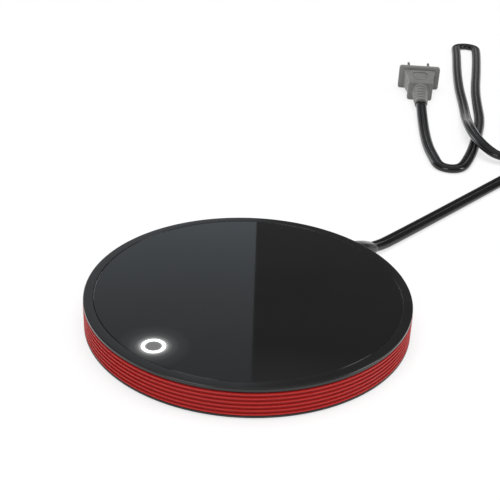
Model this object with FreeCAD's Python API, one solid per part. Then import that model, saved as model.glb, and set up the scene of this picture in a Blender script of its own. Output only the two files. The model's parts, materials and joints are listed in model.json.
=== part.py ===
import FreeCAD, Part
import math
import os

from FreeCAD import Vector

# Electric mug warmer: a round glass-topped hot plate with a red ribbed band,
# a ringed touch key and a flat twin mains lead with a two-blade plug.
# Millimetres, +Z up. The origin is under the middle of the disc, on the surface it stands on.
# +Y is the back. The lead leaves at the back right, the key is at the front left.

# Driving dimensions of the case
CASE_D = 130.0
FEET_PROUD = 0.5
LIP_H = 1.0
BAND_H = 9.6
SHADOW_GAP_H = 0.5
EDGE_H = 1.4
FLOOR_T = 1.8
CASE_WALL = 1.5
WALL_SHORT = 1.6
SLIDE_FIT = 0.2
LIP_CHAMFER = 0.3

# Red band
BAND_T = 1.8
RIB_COUNT = 6
RIB_PROUD = 0.5
RIB_ROOT_W = 1.0
RIB_CREST_W = 0.4
RIB_MARGIN = 0.05

# Top bezel and glass
EDGE_INSET = 0.1
EDGE_ROUND = 0.3
SHADOW_GAP_DEPTH = 0.6
RIM_W = 3.9
GLASS_T = 2.0
GLASS_FIT = 0.1
GLASS_BEVEL = 0.25
TAPE_T = 0.3
LEDGE_W = 2.5
LEDGE_T = 1.0
SKIRT_T = 1.5
SKIRT_H = 1.5
TAPE_MARGIN = 0.3

# Case screws, their bosses and the feet that hide them
SCREW_ANGLES = (0.0, 90.0, 180.0, 270.0)
SCREW_RING_INSET = 7.5
BOSS_D = 5.2
POST_D = 6.8
POST_H = 1.5
SCREW_D = 2.0
SCREW_LEN = 5.5
SCREW_HEAD_D = 4.2
SCREW_HEAD_H = 1.4
SCREW_CLEAR = 0.2
SCREW_SLOT_W = 0.7
SCREW_SLOT_DEPTH = 0.5
FOOT_D = 10.0
FOOT_T = 1.2
FOOT_FIT = 0.15

# Touch key
KEY_ANGLE = 230.82
KEY_INSET = 12.0
KEY_RING_OD = 10.0
KEY_RING_ID = 5.8
KEY_STACK_H = 1.4
KEY_BOARD_D = 13.6
KEY_BOARD_T = 1.0
KEY_SHROUD_T = 1.35
KEY_FIT = 0.15
LED_SIZE = 1.6
LED_H = 0.4
LED_COUNT = 4
KEY_POST_D = 3.6
KEY_POST_SPAN = 9.0
KEY_NOTCH_FIT = 0.4

# Heating stack under the glass
ZONE_INSET = 23.0
PLATE_T = 1.0
HEATER_MARGIN = 2.0
HEATER_T = 0.5
PAD_T = 2.0
SHIELD_MARGIN = 1.0
SHIELD_T = 0.5
TAB_ANGLES = (75.0, 195.0, 315.0)
TAB_REACH = 3.5
TAB_W = 6.0
SHIELD_POST_D = 5.0
SHIELD_SCREW_D = 1.6
SHIELD_SCREW_LEN = 3.4
SHIELD_SCREW_HEAD_D = 3.2
SHIELD_SCREW_HEAD_H = 1.0
TAIL_ANGLE = 157.0
TAIL_W = 8.0
SENSOR_D = 2.2
SENSOR_LEN = 4.0
CUTOFF_D = 2.0
CUTOFF_LEN = 9.0
CUTOFF_OFFSET = 12.0
SENSOR_POCKET = 1.4
SENSOR_WIRE_D = 0.8
SENSOR_WIRE_SPACING = 1.6

# Control board and what is soldered to it
BOARD_T = 1.2
BOARD_SHIELD_GAP = 3.0
BOARD_SKIRT_GAP = 1.5
BOARD_START = 97.0
BOARD_END = 173.0
BOARD_LIFT = 1.2
BOARD_POST_D = 4.4
BOARD_SCREW_ANGLES = (108.5, 168.5)
BLIND_FLOOR_T = 0.6

# Parts on the board: angle round the disc and, for blocks, radial, tangential and upright size
MAINS_TERMINAL_ANGLE = 101.2
MAINS_TERMINAL_SIZE = (9.0, 6.0, 4.2)
FUSE_ANGLE = 117.5
FUSE_D = 3.6
FUSE_LEN = 9.0
FILM_CAP_ANGLE = 131.0
FILM_CAP_SIZE = (6.0, 12.0, 5.0)
CAN_CAP_ANGLE = 141.5
CAN_CAP_D = 5.0
CAN_CAP_LEN = 9.0
TRIAC_ANGLE = 147.8
TRIAC_SIZE = (7.0, 5.0, 2.3)
CONTROLLER_ANGLE = 163.6
CONTROLLER_SIZE = (4.0, 3.6, 1.5)
HEATER_TERMINAL_INSET = 3.0
HEATER_TERMINAL_L = 4.0
HEATER_TERMINAL_MARGIN = 0.5
SIGNAL_SOCKET_ANGLE = 165.2
SIGNAL_SOCKET_INSET = 1.7
SIGNAL_SOCKET_SIZE = (2.6, 4.2, 2.6)
SENSOR_WIRE_Z = 5.3
SENSOR_WIRE_RUN = 4.0
CUTOFF_WIRE_D = 0.9
CUTOFF_WIRE_Z = 6.5
CUTOFF_WIRE_RUN = 6.0
CUTOFF_WIRE_SPAN = 5.2
KEY_WIRE_D = 0.7
KEY_WIRE_SPACING = 0.8
KEY_WIRE_COUNT = 3
KEY_WIRE_Z = 6.0
KEY_WIRE_INSET = 4.0
KEY_WIRE_RISE = 0.4
KEY_WIRE_STEP = 1.0
KEY_WIRE_TURN = 8.0
KEY_WIRE_RUN = 5.0

# Way of the key's wires round the case: angle and distance past the middle of the shield's tabs
KEY_WIRE_ROUTE = (
    (208.0, 4.9),
    (195.0, 4.9),
    (184.0, 3.9),
)

# Lead, strain relief and clamp
EXIT_ANGLE = 46.8
CORD_W = 6.3
CORD_T = 3.8
CORD_LIFT = 0.1
EXIT_Z = 6.3
NECK_W = 7.2
NECK_H = 5.0
NECK_FIT = 0.2
FLANGE_W = 10.0
FLANGE_H = 6.4
FLANGE_T = 1.9
BOOT_GAP = 0.3
BOOT_W = 9.6
BOOT_CORNER_SHARE = 0.42
HOLE_CORNER_SHARE = 0.4
BEZEL_NOTCH_DEPTH = 6.0
CLAMP_INSET = 8.5
CLAMP_LEN = 6.0
CLAMP_W = 17.6
CLAMP_T = 1.5
CLAMP_SPAN = 13.2
CLAMP_POST_D = 4.2
CLAMP_SCREW_D = 1.6
CLAMP_SCREW_LEN = 4.0
CLAMP_SCREW_HEAD_D = 3.4
CLAMP_SCREW_HEAD_H = 0.9
SHEATH_PAST_CLAMP = 5.5
CORE_D = 1.6
CORE_SHIFT = 0.85
CORE_LOW_Z = 5.6
CORE_RISE = 2.0
CORE_ANGLES = (58.0, 66.0, 74.0, 82.0, 90.0)
CORE_SPLIT = 1.4
CORE_TURN = 3.5
CORE_END_RUN = 3.0

# Stored coil of the lead
COIL_X = 187.0
COIL_Y = 144.0
COIL_R = 39.5
COIL_PITCH = 6.9
COIL_LAYER = 4.4
COIL_TUCK = 2.0
COIL_START = 137.8
COIL_SWEEP = 1107.8
COIL_CLIMB = 180.0
COIL_SPANS = 12
COIL_TAIL = 6.0
COIL_LEAVE_RUN = 10.0
GAP_STEP = 2.0
TAIL_APART = 60.0

# Plug
PLUG_HEADING = 85.0
PLUG_NECK_X = 102.0
PLUG_NECK_Y = 246.0
PLUG_FLANGE_W = 26.0
PLUG_FLANGE_H = 15.0
PLUG_FLANGE_T = 3.0
PLUG_BODY_W = 20.0
PLUG_BODY_END_W = 13.5
PLUG_BODY_H = 11.5
PLUG_BODY_END_H = 10.0
PLUG_BODY_LEN = 18.5
PLUG_COLLAR_W = 15.5
PLUG_COLLAR_H = 12.0
PLUG_COLLAR_T = 3.4
PLUG_NECK_D = 11.0
PLUG_NECK_END_D = 7.8
PLUG_NECK_LEN = 19.0
PLUG_RIBS = 5
PLUG_GROOVE_DEPTH = 0.9
PLUG_CORNER = 1.2
BLADE_W = 6.3
BLADE_T = 1.5
BLADE_LEN = 17.5
BLADE_SPACING = 12.7
BLADE_ROOT = 9.0
INSERT_W = 17.0
INSERT_H = 8.4
INSERT_LEN = 8.0
GRIP_W = 9.0
GRIP_LEN = 11.0
GRIP_DEPTH = 0.5

# Half outline of a grip from its broad end: shares of its half length and of its half width
GRIP_OUTLINE = (
    (1.0, 0.8),
    (0.7, 1.0),
    (-0.4, 0.85),
    (-1.0, 0.35),
)

PLUG_END_RUN = 14.0

# Depth that joined shapes of one solid share, and how far a cut runs past a face
JOIN = 0.1
TAB_JOIN = 2.0
LINK_JOIN = 0.2
LINK_HALF_ANGLE = 2.0
PAST = 1.0

# Heights that follow from the sizes above
R = CASE_D / 2
FLOOR_Z = FEET_PROUD
LIP_TOP = FLOOR_Z + LIP_H
BAND_TOP = LIP_TOP + BAND_H
EDGE_Z = BAND_TOP + SHADOW_GAP_H
TOP_Z = EDGE_Z + EDGE_H
INSIDE_Z = FLOOR_Z + FLOOR_T
GLASS_Z = TOP_Z - GLASS_T
LEDGE_TOP = GLASS_Z - TAPE_T
LEDGE_Z = LEDGE_TOP - LEDGE_T
BAND_IN_R = R - BAND_T
RIB_PITCH = (BAND_H - RIB_ROOT_W - 2 * RIB_MARGIN) / (RIB_COUNT - 1)
WALL_OUT_R = BAND_IN_R - SLIDE_FIT
WALL_IN_R = WALL_OUT_R - CASE_WALL
WALL_TOP = BAND_TOP - WALL_SHORT
GLASS_RECESS_R = R - EDGE_INSET - RIM_W
LEDGE_IN_R = GLASS_RECESS_R - LEDGE_W
SKIRT_OUT_R = WALL_IN_R - SLIDE_FIT
SKIRT_IN_R = SKIRT_OUT_R - SKIRT_T
SKIRT_Z = LEDGE_Z - SKIRT_H
SCREW_RING_R = R - SCREW_RING_INSET
POST_TOP = INSIDE_Z + POST_H
FOOT_TOP = FOOT_T
HEAD_SEAT_Z = FOOT_TOP + SCREW_HEAD_H + SCREW_CLEAR / 2
PLATE_Z = GLASS_Z - PLATE_T
HEATER_Z = PLATE_Z - HEATER_T
PAD_Z = HEATER_Z - PAD_T
SHIELD_Z = PAD_Z - SHIELD_T
PLATE_D = CASE_D - 2 * ZONE_INSET
HEATER_D = PLATE_D - 2 * HEATER_MARGIN
PAD_D = PLATE_D
SHIELD_D = PAD_D + 2 * SHIELD_MARGIN
TAB_R = SHIELD_D / 2 + TAB_REACH
KEY_R = R - KEY_INSET
KEY_X = KEY_R * math.cos(math.radians(KEY_ANGLE))
KEY_Y = KEY_R * math.sin(math.radians(KEY_ANGLE))
KEY_BOARD_TOP = GLASS_Z - KEY_STACK_H
BOARD_Z = INSIDE_Z + BOARD_LIFT
BOARD_TOP = BOARD_Z + BOARD_T
BOARD_IN_R = SHIELD_D / 2 + BOARD_SHIELD_GAP
BOARD_OUT_R = SKIRT_IN_R - BOARD_SKIRT_GAP
PARTS_R = (BOARD_IN_R + BOARD_OUT_R) / 2
HEATER_TERMINAL_R = BOARD_IN_R + HEATER_TERMINAL_INSET
SIGNAL_SOCKET_R = BOARD_IN_R + SIGNAL_SOCKET_INSET
TAIL_REACH = HEATER_TERMINAL_R + HEATER_TERMINAL_L / 2
CLAMP_R = WALL_IN_R - CLAMP_INSET
SHEATH_END_R = CLAMP_R - SHEATH_PAST_CLAMP
CORE_R = PARTS_R - CORE_SHIFT
EXIT_DIR = Vector(math.cos(math.radians(EXIT_ANGLE)), math.sin(math.radians(EXIT_ANGLE)), 0)
UP = Vector(0, 0, 1)

# Sections of the strain relief outside the case: distance from the centre of the disc,
# height of the axis, fall of the axis in degrees, width and height
BOOT_SECTIONS = (
    (R + BOOT_GAP, 6.2, 0.0, BOOT_W, 7.6),
    (R + 6.0, 5.8, 7.0, 9.2, 7.1),
    (R + 11.5, 4.6, 13.0, 8.2, 5.8),
    (R + 15.5, 3.4, 11.3, 7.2, 4.5),
)

# Route of the lead from the strain relief to the coil: down to the surface, then straight
LEAD_ROUTE = (
    (55.11, 58.68, 3.40),
    (58.7, 62.5, 2.35),
    (64.6, 68.6, 2.00),
    (112.0, 120.1, 2.00),
    (136.04, 146.61, 2.00),
)

# Route of the tail from the coil to the plug, past its long loop
TAIL_ROUTE = (
    (200.5, 194.5, 3.60),
    (208.6, 204.5, 2.10),
    (210.5, 218.5, 2.00),
    (203.5, 236.5, 2.00),
    (187.5, 247.5, 2.00),
    (168.5, 244.1, 2.00),
    (154.5, 228.0, 2.00),
    (151.0, 208.0, 2.00),
    (151.5, 191.0, 2.00),
    (149.2, 178.5, 2.10),
    (142.0, 169.2, 3.00),
    (133.2, 168.4, 4.60),
    (127.8, 177.0, 6.20),
    (124.9, 192.0, 6.60),
    (124.8, 208.0, 6.20),
    (126.6, 227.0, 3.20),
    (129.6, 252.0, 2.00),
    (132.0, 284.0, 2.00),
    (136.6, 320.0, 2.00),
    (140.0, 342.0, 2.00),
    (142.4, 358.0, 2.00),
    (143.6, 367.5, 2.00),
    (145.0, 376.5, 2.00),
    (152.5, 379.7, 2.00),
    (159.0, 374.8, 2.00),
    (157.7, 364.4, 2.00),
    (154.6, 346.0, 2.00),
    (149.4, 318.0, 2.00),
    (142.2, 282.0, 2.00),
    (138.4, 254.0, 2.00),
    (135.4, 228.0, 2.00),
    (129.4, 204.0, 2.00),
    (123.4, 183.0, 2.00),
    (117.4, 166.4, 2.00),
    (112.2, 155.3, 2.00),
    (105.7, 153.2, 2.00),
    (100.0, 157.1, 2.00),
    (99.0, 167.5, 2.00),
    (98.0, 183.0, 2.00),
    (98.6, 201.0, 2.00),
    (99.8, 218.0, 2.40),
)


def save(shape, name):
    if not shape.isValid():
        raise ValueError(name + " is not a valid solid")
    shape.exportStep("parts/" + name + ".step")
    print(name, "solids", len(shape.Solids), "volume", round(shape.Volume, 1))


def polar(radius, angle, z=0.0):
    turn = math.radians(angle)
    return Vector(radius * math.cos(turn), radius * math.sin(turn), z)


def cylinder(diameter, z0, z1, x=0.0, y=0.0):
    return Part.makeCylinder(diameter / 2, z1 - z0, Vector(x, y, z0))


def tube_ring(outer_r, inner_r, z0, z1):
    outer = Part.makeCylinder(outer_r, z1 - z0, Vector(0, 0, z0))
    return outer.cut(Part.makeCylinder(inner_r, z1 - z0, Vector(0, 0, z0)))


def box_at(radius, angle, radial, tangential, z0, z1):
    block = Part.makeBox(radial, tangential, z1 - z0, Vector(radius - radial / 2, -tangential / 2, z0))
    block.rotate(Vector(0, 0, 0), UP, angle)
    return block


def ring_sector(outer_r, inner_r, start, end, z0, z1):
    sector = Part.makeCylinder(outer_r, z1 - z0, Vector(0, 0, z0), UP, end - start)
    sector = sector.cut(Part.makeCylinder(inner_r, z1 - z0, Vector(0, 0, z0)))
    sector.rotate(Vector(0, 0, 0), UP, start)
    return sector


def turned(edges):
    face = Part.Face(Part.Wire(edges))
    return face.revolve(Vector(0, 0, 0), UP, 360)


def line(a, b):
    return Part.LineSegment(Vector(a[0], 0, a[1]), Vector(b[0], 0, b[1])).toShape()


def outline(points):
    return [line(points[i], points[(i + 1) % len(points)]) for i in range(len(points))]


def fused(shapes):
    joined = shapes[0].multiFuse(shapes[1:])
    return joined.removeSplitter()


def group(shapes):
    return Part.makeCompound(shapes)


def rounded_section(centre, direction, wide, tall, corner):
    """Rounded rectangle square to direction, its wide side level."""
    ahead = Vector(direction)
    ahead.normalize()
    side = ahead.cross(UP)
    side.normalize()
    top = side.cross(ahead)
    round_r = min(corner, wide / 2 - 0.01, tall / 2 - 0.01)
    half_w, half_t = wide / 2, tall / 2
    cut = round_r * (1 - math.sqrt(0.5))

    def at(across, up):
        return centre + side * across + top * up

    edges = []
    corners = ((1, 1), (-1, 1), (-1, -1), (1, -1))
    for i, (sx, sy) in enumerate(corners):
        along = at(sx * (half_w - round_r), sy * half_t)
        down = at(sx * half_w, sy * (half_t - round_r))
        mid = at(sx * (half_w - cut), sy * (half_t - cut))
        first, last = (down, along) if i % 2 == 0 else (along, down)
        edges.append(Part.Arc(first, mid, last).toShape())
        nx, ny = corners[(i + 1) % 4]
        if i % 2 == 0:
            edges.append(Part.LineSegment(last, at(nx * (half_w - round_r), ny * half_t)).toShape())
        else:
            edges.append(Part.LineSegment(last, at(nx * half_w, ny * (half_t - round_r))).toShape())
    return Part.Wire(edges)


def cord_section(centre, direction):
    """Outline of the flat twin lead: two straight faces joined by half rounds."""
    ahead = Vector(direction)
    ahead.normalize()
    side = ahead.cross(UP)
    side.normalize()
    top = side.cross(ahead)
    half = CORD_T / 2
    flat = CORD_W / 2 - half

    def at(across, up):
        return centre + side * across + top * up

    return Part.Wire([
        Part.LineSegment(at(-flat, half), at(flat, half)).toShape(),
        Part.Arc(at(flat, half), at(flat + half, 0), at(flat, -half)).toShape(),
        Part.LineSegment(at(flat, -half), at(-flat, -half)).toShape(),
        Part.Arc(at(-flat, -half), at(-flat - half, 0), at(-flat, half)).toShape(),
    ])


def round_section(centre, direction, diameter):
    return Part.Wire([Part.Circle(centre, direction, diameter / 2).toShape()])


def rounded_path(points, label=None):
    """Straight runs joined by arcs as large as the runs allow."""
    edges, radii, at = [], [], points[0]
    for before, corner, after in zip(points, points[1:], points[2:]):
        back, ahead = before - corner, after - corner
        short = min(back.Length, ahead.Length)
        back.normalize()
        ahead.normalize()
        half_turn = (math.pi - back.getAngle(ahead)) / 2
        reach = 0.45 * short
        radius = reach / math.tan(half_turn)
        start, end = corner + back * reach, corner + ahead * reach
        inward = back + ahead
        inward.normalize()
        middle = corner + inward * (radius / math.cos(half_turn) - radius)
        edges.append(Part.LineSegment(at, start).toShape())
        edges.append(Part.Arc(start, middle, end).toShape())
        radii.append(round(radius, 1))
        at = end
    edges.append(Part.LineSegment(at, points[-1]).toShape())
    if label:
        print(label, "bend radii", radii)
    return Part.Wire(edges)


def swept(path, section, upright=True):
    shell = Part.BRepOffsetAPI.MakePipeShell(path)
    if upright:
        shell.setBiNormalMode(UP)
    shell.add(section)
    shell.build()
    shell.makeSolid()
    return shell.shape()


def checked_tube(path, section, label, upright=True):
    solid = swept(path, section, upright)
    want = Part.Face(section).Area * path.Length
    print(label, "length", round(path.Length, 1), "volume over section times length",
          round(solid.Volume / want, 4))
    return solid


def wire_lead(points, diameter):
    """A thin insulated wire held inside the case."""
    path = rounded_path(points) if len(points) > 2 else Part.Wire([Part.LineSegment(*points).toShape()])
    start = points[1] - points[0]
    return swept(path, round_section(points[0], start, diameter), upright=False)


# Case

def foot_places():
    return [polar(SCREW_RING_R, angle) for angle in SCREW_ANGLES]


def key_posts(z0, z1):
    across = polar(1.0, KEY_ANGLE + 90)
    centre = Vector(KEY_X, KEY_Y, 0)
    return [
        cylinder(KEY_POST_D, z0, z1, *(centre + across * (side * KEY_POST_SPAN / 2))[:2])
        for side in (-1, 1)
    ]


def board_screw_places():
    middle = (BOARD_IN_R + BOARD_OUT_R) / 2
    return [polar(middle, angle) for angle in BOARD_SCREW_ANGLES]


def clamp_places():
    across = polar(1.0, EXIT_ANGLE + 90)
    centre = EXIT_DIR * CLAMP_R
    return [centre + across * (side * CLAMP_SPAN / 2) for side in (-1, 1)]


def exit_block(inner_r, outer_r, wide, tall, z=EXIT_Z):
    """Straight block along the lead's exit, used for holes and the neck of the strain relief."""
    section = rounded_section(EXIT_DIR * inner_r + UP * z, EXIT_DIR, wide, tall, tall * HOLE_CORNER_SHARE)
    return Part.Face(section).extrude(EXIT_DIR * (outer_r - inner_r))


def make_base_shell():
    profile = [
        (0, FLOOR_Z),
        (R - LIP_CHAMFER, FLOOR_Z),
        (R, FLOOR_Z + LIP_CHAMFER),
        (R, LIP_TOP),
        (WALL_OUT_R, LIP_TOP),
        (WALL_OUT_R, WALL_TOP),
        (WALL_IN_R, WALL_TOP),
        (WALL_IN_R, INSIDE_Z),
        (0, INSIDE_Z),
    ]
    added = [turned(outline(profile))]
    for place in foot_places():
        added.append(cylinder(POST_D, INSIDE_Z - JOIN, POST_TOP, place.x, place.y))
    for angle in TAB_ANGLES:
        place = polar(TAB_R, angle)
        added.append(cylinder(SHIELD_POST_D, INSIDE_Z - JOIN, SHIELD_Z, place.x, place.y))
    for place in board_screw_places():
        added.append(cylinder(BOARD_POST_D, INSIDE_Z - JOIN, BOARD_Z, place.x, place.y))
    added += key_posts(INSIDE_Z - JOIN, KEY_BOARD_TOP - KEY_BOARD_T)
    cradle_top = EXIT_Z - CORD_T / 2
    added.append(box_at(CLAMP_R, EXIT_ANGLE, CLAMP_LEN, CLAMP_SPAN, INSIDE_Z - JOIN, cradle_top))
    for place in clamp_places():
        added.append(cylinder(CLAMP_POST_D, INSIDE_Z - JOIN, EXIT_Z + CORD_T / 2, place.x, place.y))
    shell = fused(added)
    removed = []
    for place in foot_places():
        removed.append(cylinder(FOOT_D + 2 * FOOT_FIT, FLOOR_Z - PAST, FOOT_TOP, place.x, place.y))
        removed.append(cylinder(SCREW_HEAD_D + 2 * SCREW_CLEAR, FLOOR_Z, HEAD_SEAT_Z, place.x, place.y))
        removed.append(cylinder(SCREW_D + 2 * SCREW_CLEAR, FLOOR_Z, POST_TOP + PAST, place.x, place.y))
    for angle in TAB_ANGLES:
        place = polar(TAB_R, angle)
        removed.append(cylinder(SHIELD_SCREW_D + SCREW_CLEAR, SHIELD_Z - SHIELD_SCREW_LEN, SHIELD_Z + PAST,
                                place.x, place.y))
    for place in board_screw_places():
        removed.append(cylinder(SHIELD_SCREW_D + SCREW_CLEAR, FLOOR_Z + BLIND_FLOOR_T, BOARD_Z + PAST,
                                place.x, place.y))
    for place in clamp_places():
        removed.append(cylinder(CLAMP_SCREW_D + SCREW_CLEAR, EXIT_Z + CORD_T / 2 - CLAMP_SCREW_LEN,
                                EXIT_Z + CORD_T, place.x, place.y))
    removed.append(exit_block(WALL_IN_R - PAST, WALL_OUT_R + PAST,
                              NECK_W + 2 * NECK_FIT, NECK_H + 2 * NECK_FIT))
    return shell.cut(group(removed))


def make_trim_band():
    root_r = R - RIB_PROUD
    middle = (LIP_TOP + BAND_TOP) / 2
    points = [(BAND_IN_R, BAND_TOP), (BAND_IN_R, LIP_TOP), (root_r, LIP_TOP)]
    for i in range(RIB_COUNT):
        centre = middle + (i - (RIB_COUNT - 1) / 2) * RIB_PITCH
        points.append((root_r, centre - RIB_ROOT_W / 2))
        points.append((R, centre - RIB_CREST_W / 2))
        points.append((R, centre + RIB_CREST_W / 2))
        points.append((root_r, centre + RIB_ROOT_W / 2))
    points.append((root_r, BAND_TOP))
    middle_r = (BAND_IN_R + R) / 2
    wide, tall = NECK_W + 2 * NECK_FIT, NECK_H + 2 * NECK_FIT
    hole = box_at(middle_r, EXIT_ANGLE, 2 * BAND_T, wide, EXIT_Z - tall / 2, EXIT_Z + tall / 2)
    return turned(outline(points)).cut(hole)


def make_top_bezel():
    edge_r = R - EDGE_INSET
    gap_r = edge_r - SHADOW_GAP_DEPTH
    tip = EDGE_ROUND * (1 - math.sqrt(0.5))
    points = [
        (edge_r, TOP_Z - EDGE_ROUND),
        (edge_r, EDGE_Z),
        (gap_r, EDGE_Z),
        (gap_r, BAND_TOP),
        (WALL_OUT_R, BAND_TOP),
        (WALL_OUT_R, LEDGE_Z),
        (SKIRT_OUT_R, LEDGE_Z),
        (SKIRT_OUT_R, SKIRT_Z),
        (SKIRT_IN_R, SKIRT_Z),
        (SKIRT_IN_R, LEDGE_Z),
        (LEDGE_IN_R, LEDGE_Z),
        (LEDGE_IN_R, LEDGE_TOP),
        (GLASS_RECESS_R, LEDGE_TOP),
        (GLASS_RECESS_R, TOP_Z),
        (edge_r - EDGE_ROUND, TOP_Z),
    ]
    edges = [line(points[i], points[i + 1]) for i in range(len(points) - 1)]
    edges.append(Part.Arc(
        Vector(edge_r - EDGE_ROUND, 0, TOP_Z),
        Vector(edge_r - tip, 0, TOP_Z - tip),
        Vector(edge_r, 0, TOP_Z - EDGE_ROUND),
    ).toShape())
    bosses = [cylinder(BOSS_D, POST_TOP, LEDGE_Z, p.x, p.y) for p in foot_places()]
    links = [
        ring_sector(SKIRT_IN_R + LINK_JOIN, SCREW_RING_R, angle - LINK_HALF_ANGLE, angle + LINK_HALF_ANGLE,
                    SKIRT_Z, LEDGE_Z + LINK_JOIN)
        for angle in SCREW_ANGLES
    ]
    ring = fused([turned(edges)] + bosses + links)
    removed = [
        cylinder(SCREW_D + SCREW_CLEAR, POST_TOP - PAST, POST_TOP + SCREW_LEN, p.x, p.y)
        for p in foot_places()
    ]
    removed.append(cylinder(KEY_BOARD_D + 2 * KEY_NOTCH_FIT, SKIRT_Z - PAST, LEDGE_TOP, KEY_X, KEY_Y))
    removed.append(box_at(SKIRT_OUT_R, EXIT_ANGLE, BEZEL_NOTCH_DEPTH, FLANGE_W + 2 * NECK_FIT,
                          SKIRT_Z - PAST, LEDGE_Z))
    return ring.cut(group(removed))


def make_glass_top():
    glass_r = GLASS_RECESS_R - GLASS_FIT
    profile = [
        (0, GLASS_Z),
        (glass_r, GLASS_Z),
        (glass_r, TOP_Z - GLASS_BEVEL),
        (glass_r - GLASS_BEVEL, TOP_Z),
        (0, TOP_Z),
    ]
    return turned(outline(profile))


def make_glass_tape():
    tape = tube_ring(GLASS_RECESS_R - GLASS_FIT - TAPE_MARGIN, LEDGE_IN_R + TAPE_MARGIN, LEDGE_TOP, GLASS_Z)
    notch_d = KEY_BOARD_D + 2 * KEY_NOTCH_FIT
    return tape.cut(cylinder(notch_d, LEDGE_TOP - PAST, GLASS_Z + PAST, KEY_X, KEY_Y))


def make_feet():
    return group([cylinder(FOOT_D, 0, FOOT_TOP, p.x, p.y) for p in foot_places()])


def upward_screw(place):
    head_z = HEAD_SEAT_Z - SCREW_HEAD_H
    head = cylinder(SCREW_HEAD_D, head_z, HEAD_SEAT_Z, place.x, place.y)
    shank = cylinder(SCREW_D, HEAD_SEAT_Z, HEAD_SEAT_Z + SCREW_LEN, place.x, place.y)
    slot = Part.makeBox(SCREW_HEAD_D, SCREW_SLOT_W, SCREW_SLOT_DEPTH,
                        Vector(place.x - SCREW_HEAD_D / 2, place.y - SCREW_SLOT_W / 2, head_z))
    return fused([head, shank]).cut(slot)


def downward_screw(place, seat_z, shank_d, shank_len, head_d, head_h):
    head = cylinder(head_d, seat_z, seat_z + head_h, place.x, place.y)
    shank = cylinder(shank_d, seat_z - shank_len, seat_z, place.x, place.y)
    slot_z = seat_z + head_h - SCREW_SLOT_DEPTH
    slot = Part.makeBox(head_d, SCREW_SLOT_W, SCREW_SLOT_DEPTH,
                        Vector(place.x - head_d / 2, place.y - SCREW_SLOT_W / 2, slot_z))
    return fused([head, shank]).cut(slot)


def make_case():
    save(make_base_shell(), "base_shell")
    save(make_trim_band(), "trim_band")
    save(make_top_bezel(), "top_bezel")
    save(make_glass_top(), "glass_top")
    save(make_glass_tape(), "glass_tape")
    save(make_feet(), "rubber_feet")
    save(group([upward_screw(p) for p in foot_places()]), "case_screws")


# Touch key

def make_key():
    def at(diameter, z0, z1):
        return cylinder(diameter, z0, z1, KEY_X, KEY_Y)

    board = at(KEY_BOARD_D, KEY_BOARD_TOP - KEY_BOARD_T, KEY_BOARD_TOP)
    guide = at(KEY_RING_OD, KEY_BOARD_TOP + LED_H, GLASS_Z).cut(at(KEY_RING_ID, KEY_BOARD_TOP, GLASS_Z))
    shroud_id = KEY_RING_OD + 2 * KEY_FIT
    shroud_od = shroud_id + 2 * KEY_SHROUD_T
    shroud = at(shroud_od, KEY_BOARD_TOP, GLASS_Z).cut(at(shroud_id, KEY_BOARD_TOP, GLASS_Z))
    pad = at(KEY_RING_ID - 2 * KEY_FIT, KEY_BOARD_TOP, GLASS_Z)
    leds = []
    mid_r = (KEY_RING_OD + KEY_RING_ID) / 4
    for i in range(LED_COUNT):
        chip = Part.makeBox(LED_SIZE, LED_SIZE / 2, LED_H, Vector(mid_r - LED_SIZE / 2, -LED_SIZE / 4, 0))
        chip.rotate(Vector(0, 0, 0), UP, 45 + i * 360 / LED_COUNT)
        chip.translate(Vector(KEY_X, KEY_Y, KEY_BOARD_TOP))
        leds.append(chip)
    save(board, "key_board")
    save(guide, "key_light_ring")
    save(shroud, "key_light_shroud")
    save(pad, "key_touch_pad")
    save(group(leds), "key_leds")


# Heating stack

def tail_block(inner_r, outer_r, z0, z1):
    return box_at((inner_r + outer_r) / 2, TAIL_ANGLE, outer_r - inner_r, TAIL_W, z0, z1)


def pocket_places():
    return [Vector(0, 0, 0), polar(CUTOFF_OFFSET, TAIL_ANGLE)]


def make_heating():
    save(cylinder(PLATE_D, PLATE_Z, GLASS_Z), "heat_plate")
    heater = fused([cylinder(HEATER_D, HEATER_Z, PLATE_Z),
                    tail_block(HEATER_D / 2 - TAB_JOIN, TAIL_REACH, HEATER_Z, PLATE_Z)])
    save(heater, "heating_element")
    sensor_pocket = Part.makeBox(
        SENSOR_LEN + SENSOR_POCKET, SENSOR_LEN + SENSOR_POCKET, PAD_T + SHIELD_T,
        Vector(-(SENSOR_LEN + SENSOR_POCKET) / 2, -(SENSOR_LEN + SENSOR_POCKET) / 2, SHIELD_Z))
    sensor_pocket.rotate(Vector(0, 0, 0), UP, TAIL_ANGLE)
    cutoff_pocket = box_at(CUTOFF_OFFSET, TAIL_ANGLE, CUTOFF_D + SENSOR_POCKET,
                           CUTOFF_LEN + SENSOR_POCKET, SHIELD_Z, HEATER_Z)
    pockets = group([sensor_pocket, cutoff_pocket])
    save(cylinder(PAD_D, PAD_Z, HEATER_Z).cut(pockets), "insulation_pad")
    shield = [cylinder(SHIELD_D, SHIELD_Z, PAD_Z)]
    holes = [pockets]
    screws = []
    for angle in TAB_ANGLES:
        place = polar(TAB_R, angle)
        root = SHIELD_D / 2 - TAB_JOIN
        shield.append(box_at((TAB_R + root) / 2, angle, TAB_R - root, TAB_W, SHIELD_Z, PAD_Z))
        shield.append(cylinder(TAB_W, SHIELD_Z, PAD_Z, place.x, place.y))
        holes.append(cylinder(SHIELD_SCREW_D + 2 * SCREW_CLEAR, SHIELD_Z, PAD_Z, place.x, place.y))
        screws.append(downward_screw(place, PAD_Z, SHIELD_SCREW_D, SHIELD_SCREW_LEN,
                                     SHIELD_SCREW_HEAD_D, SHIELD_SCREW_HEAD_H))
    save(fused(shield).cut(group(holes)), "heat_shield")
    save(group(screws), "shield_screws")


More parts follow.
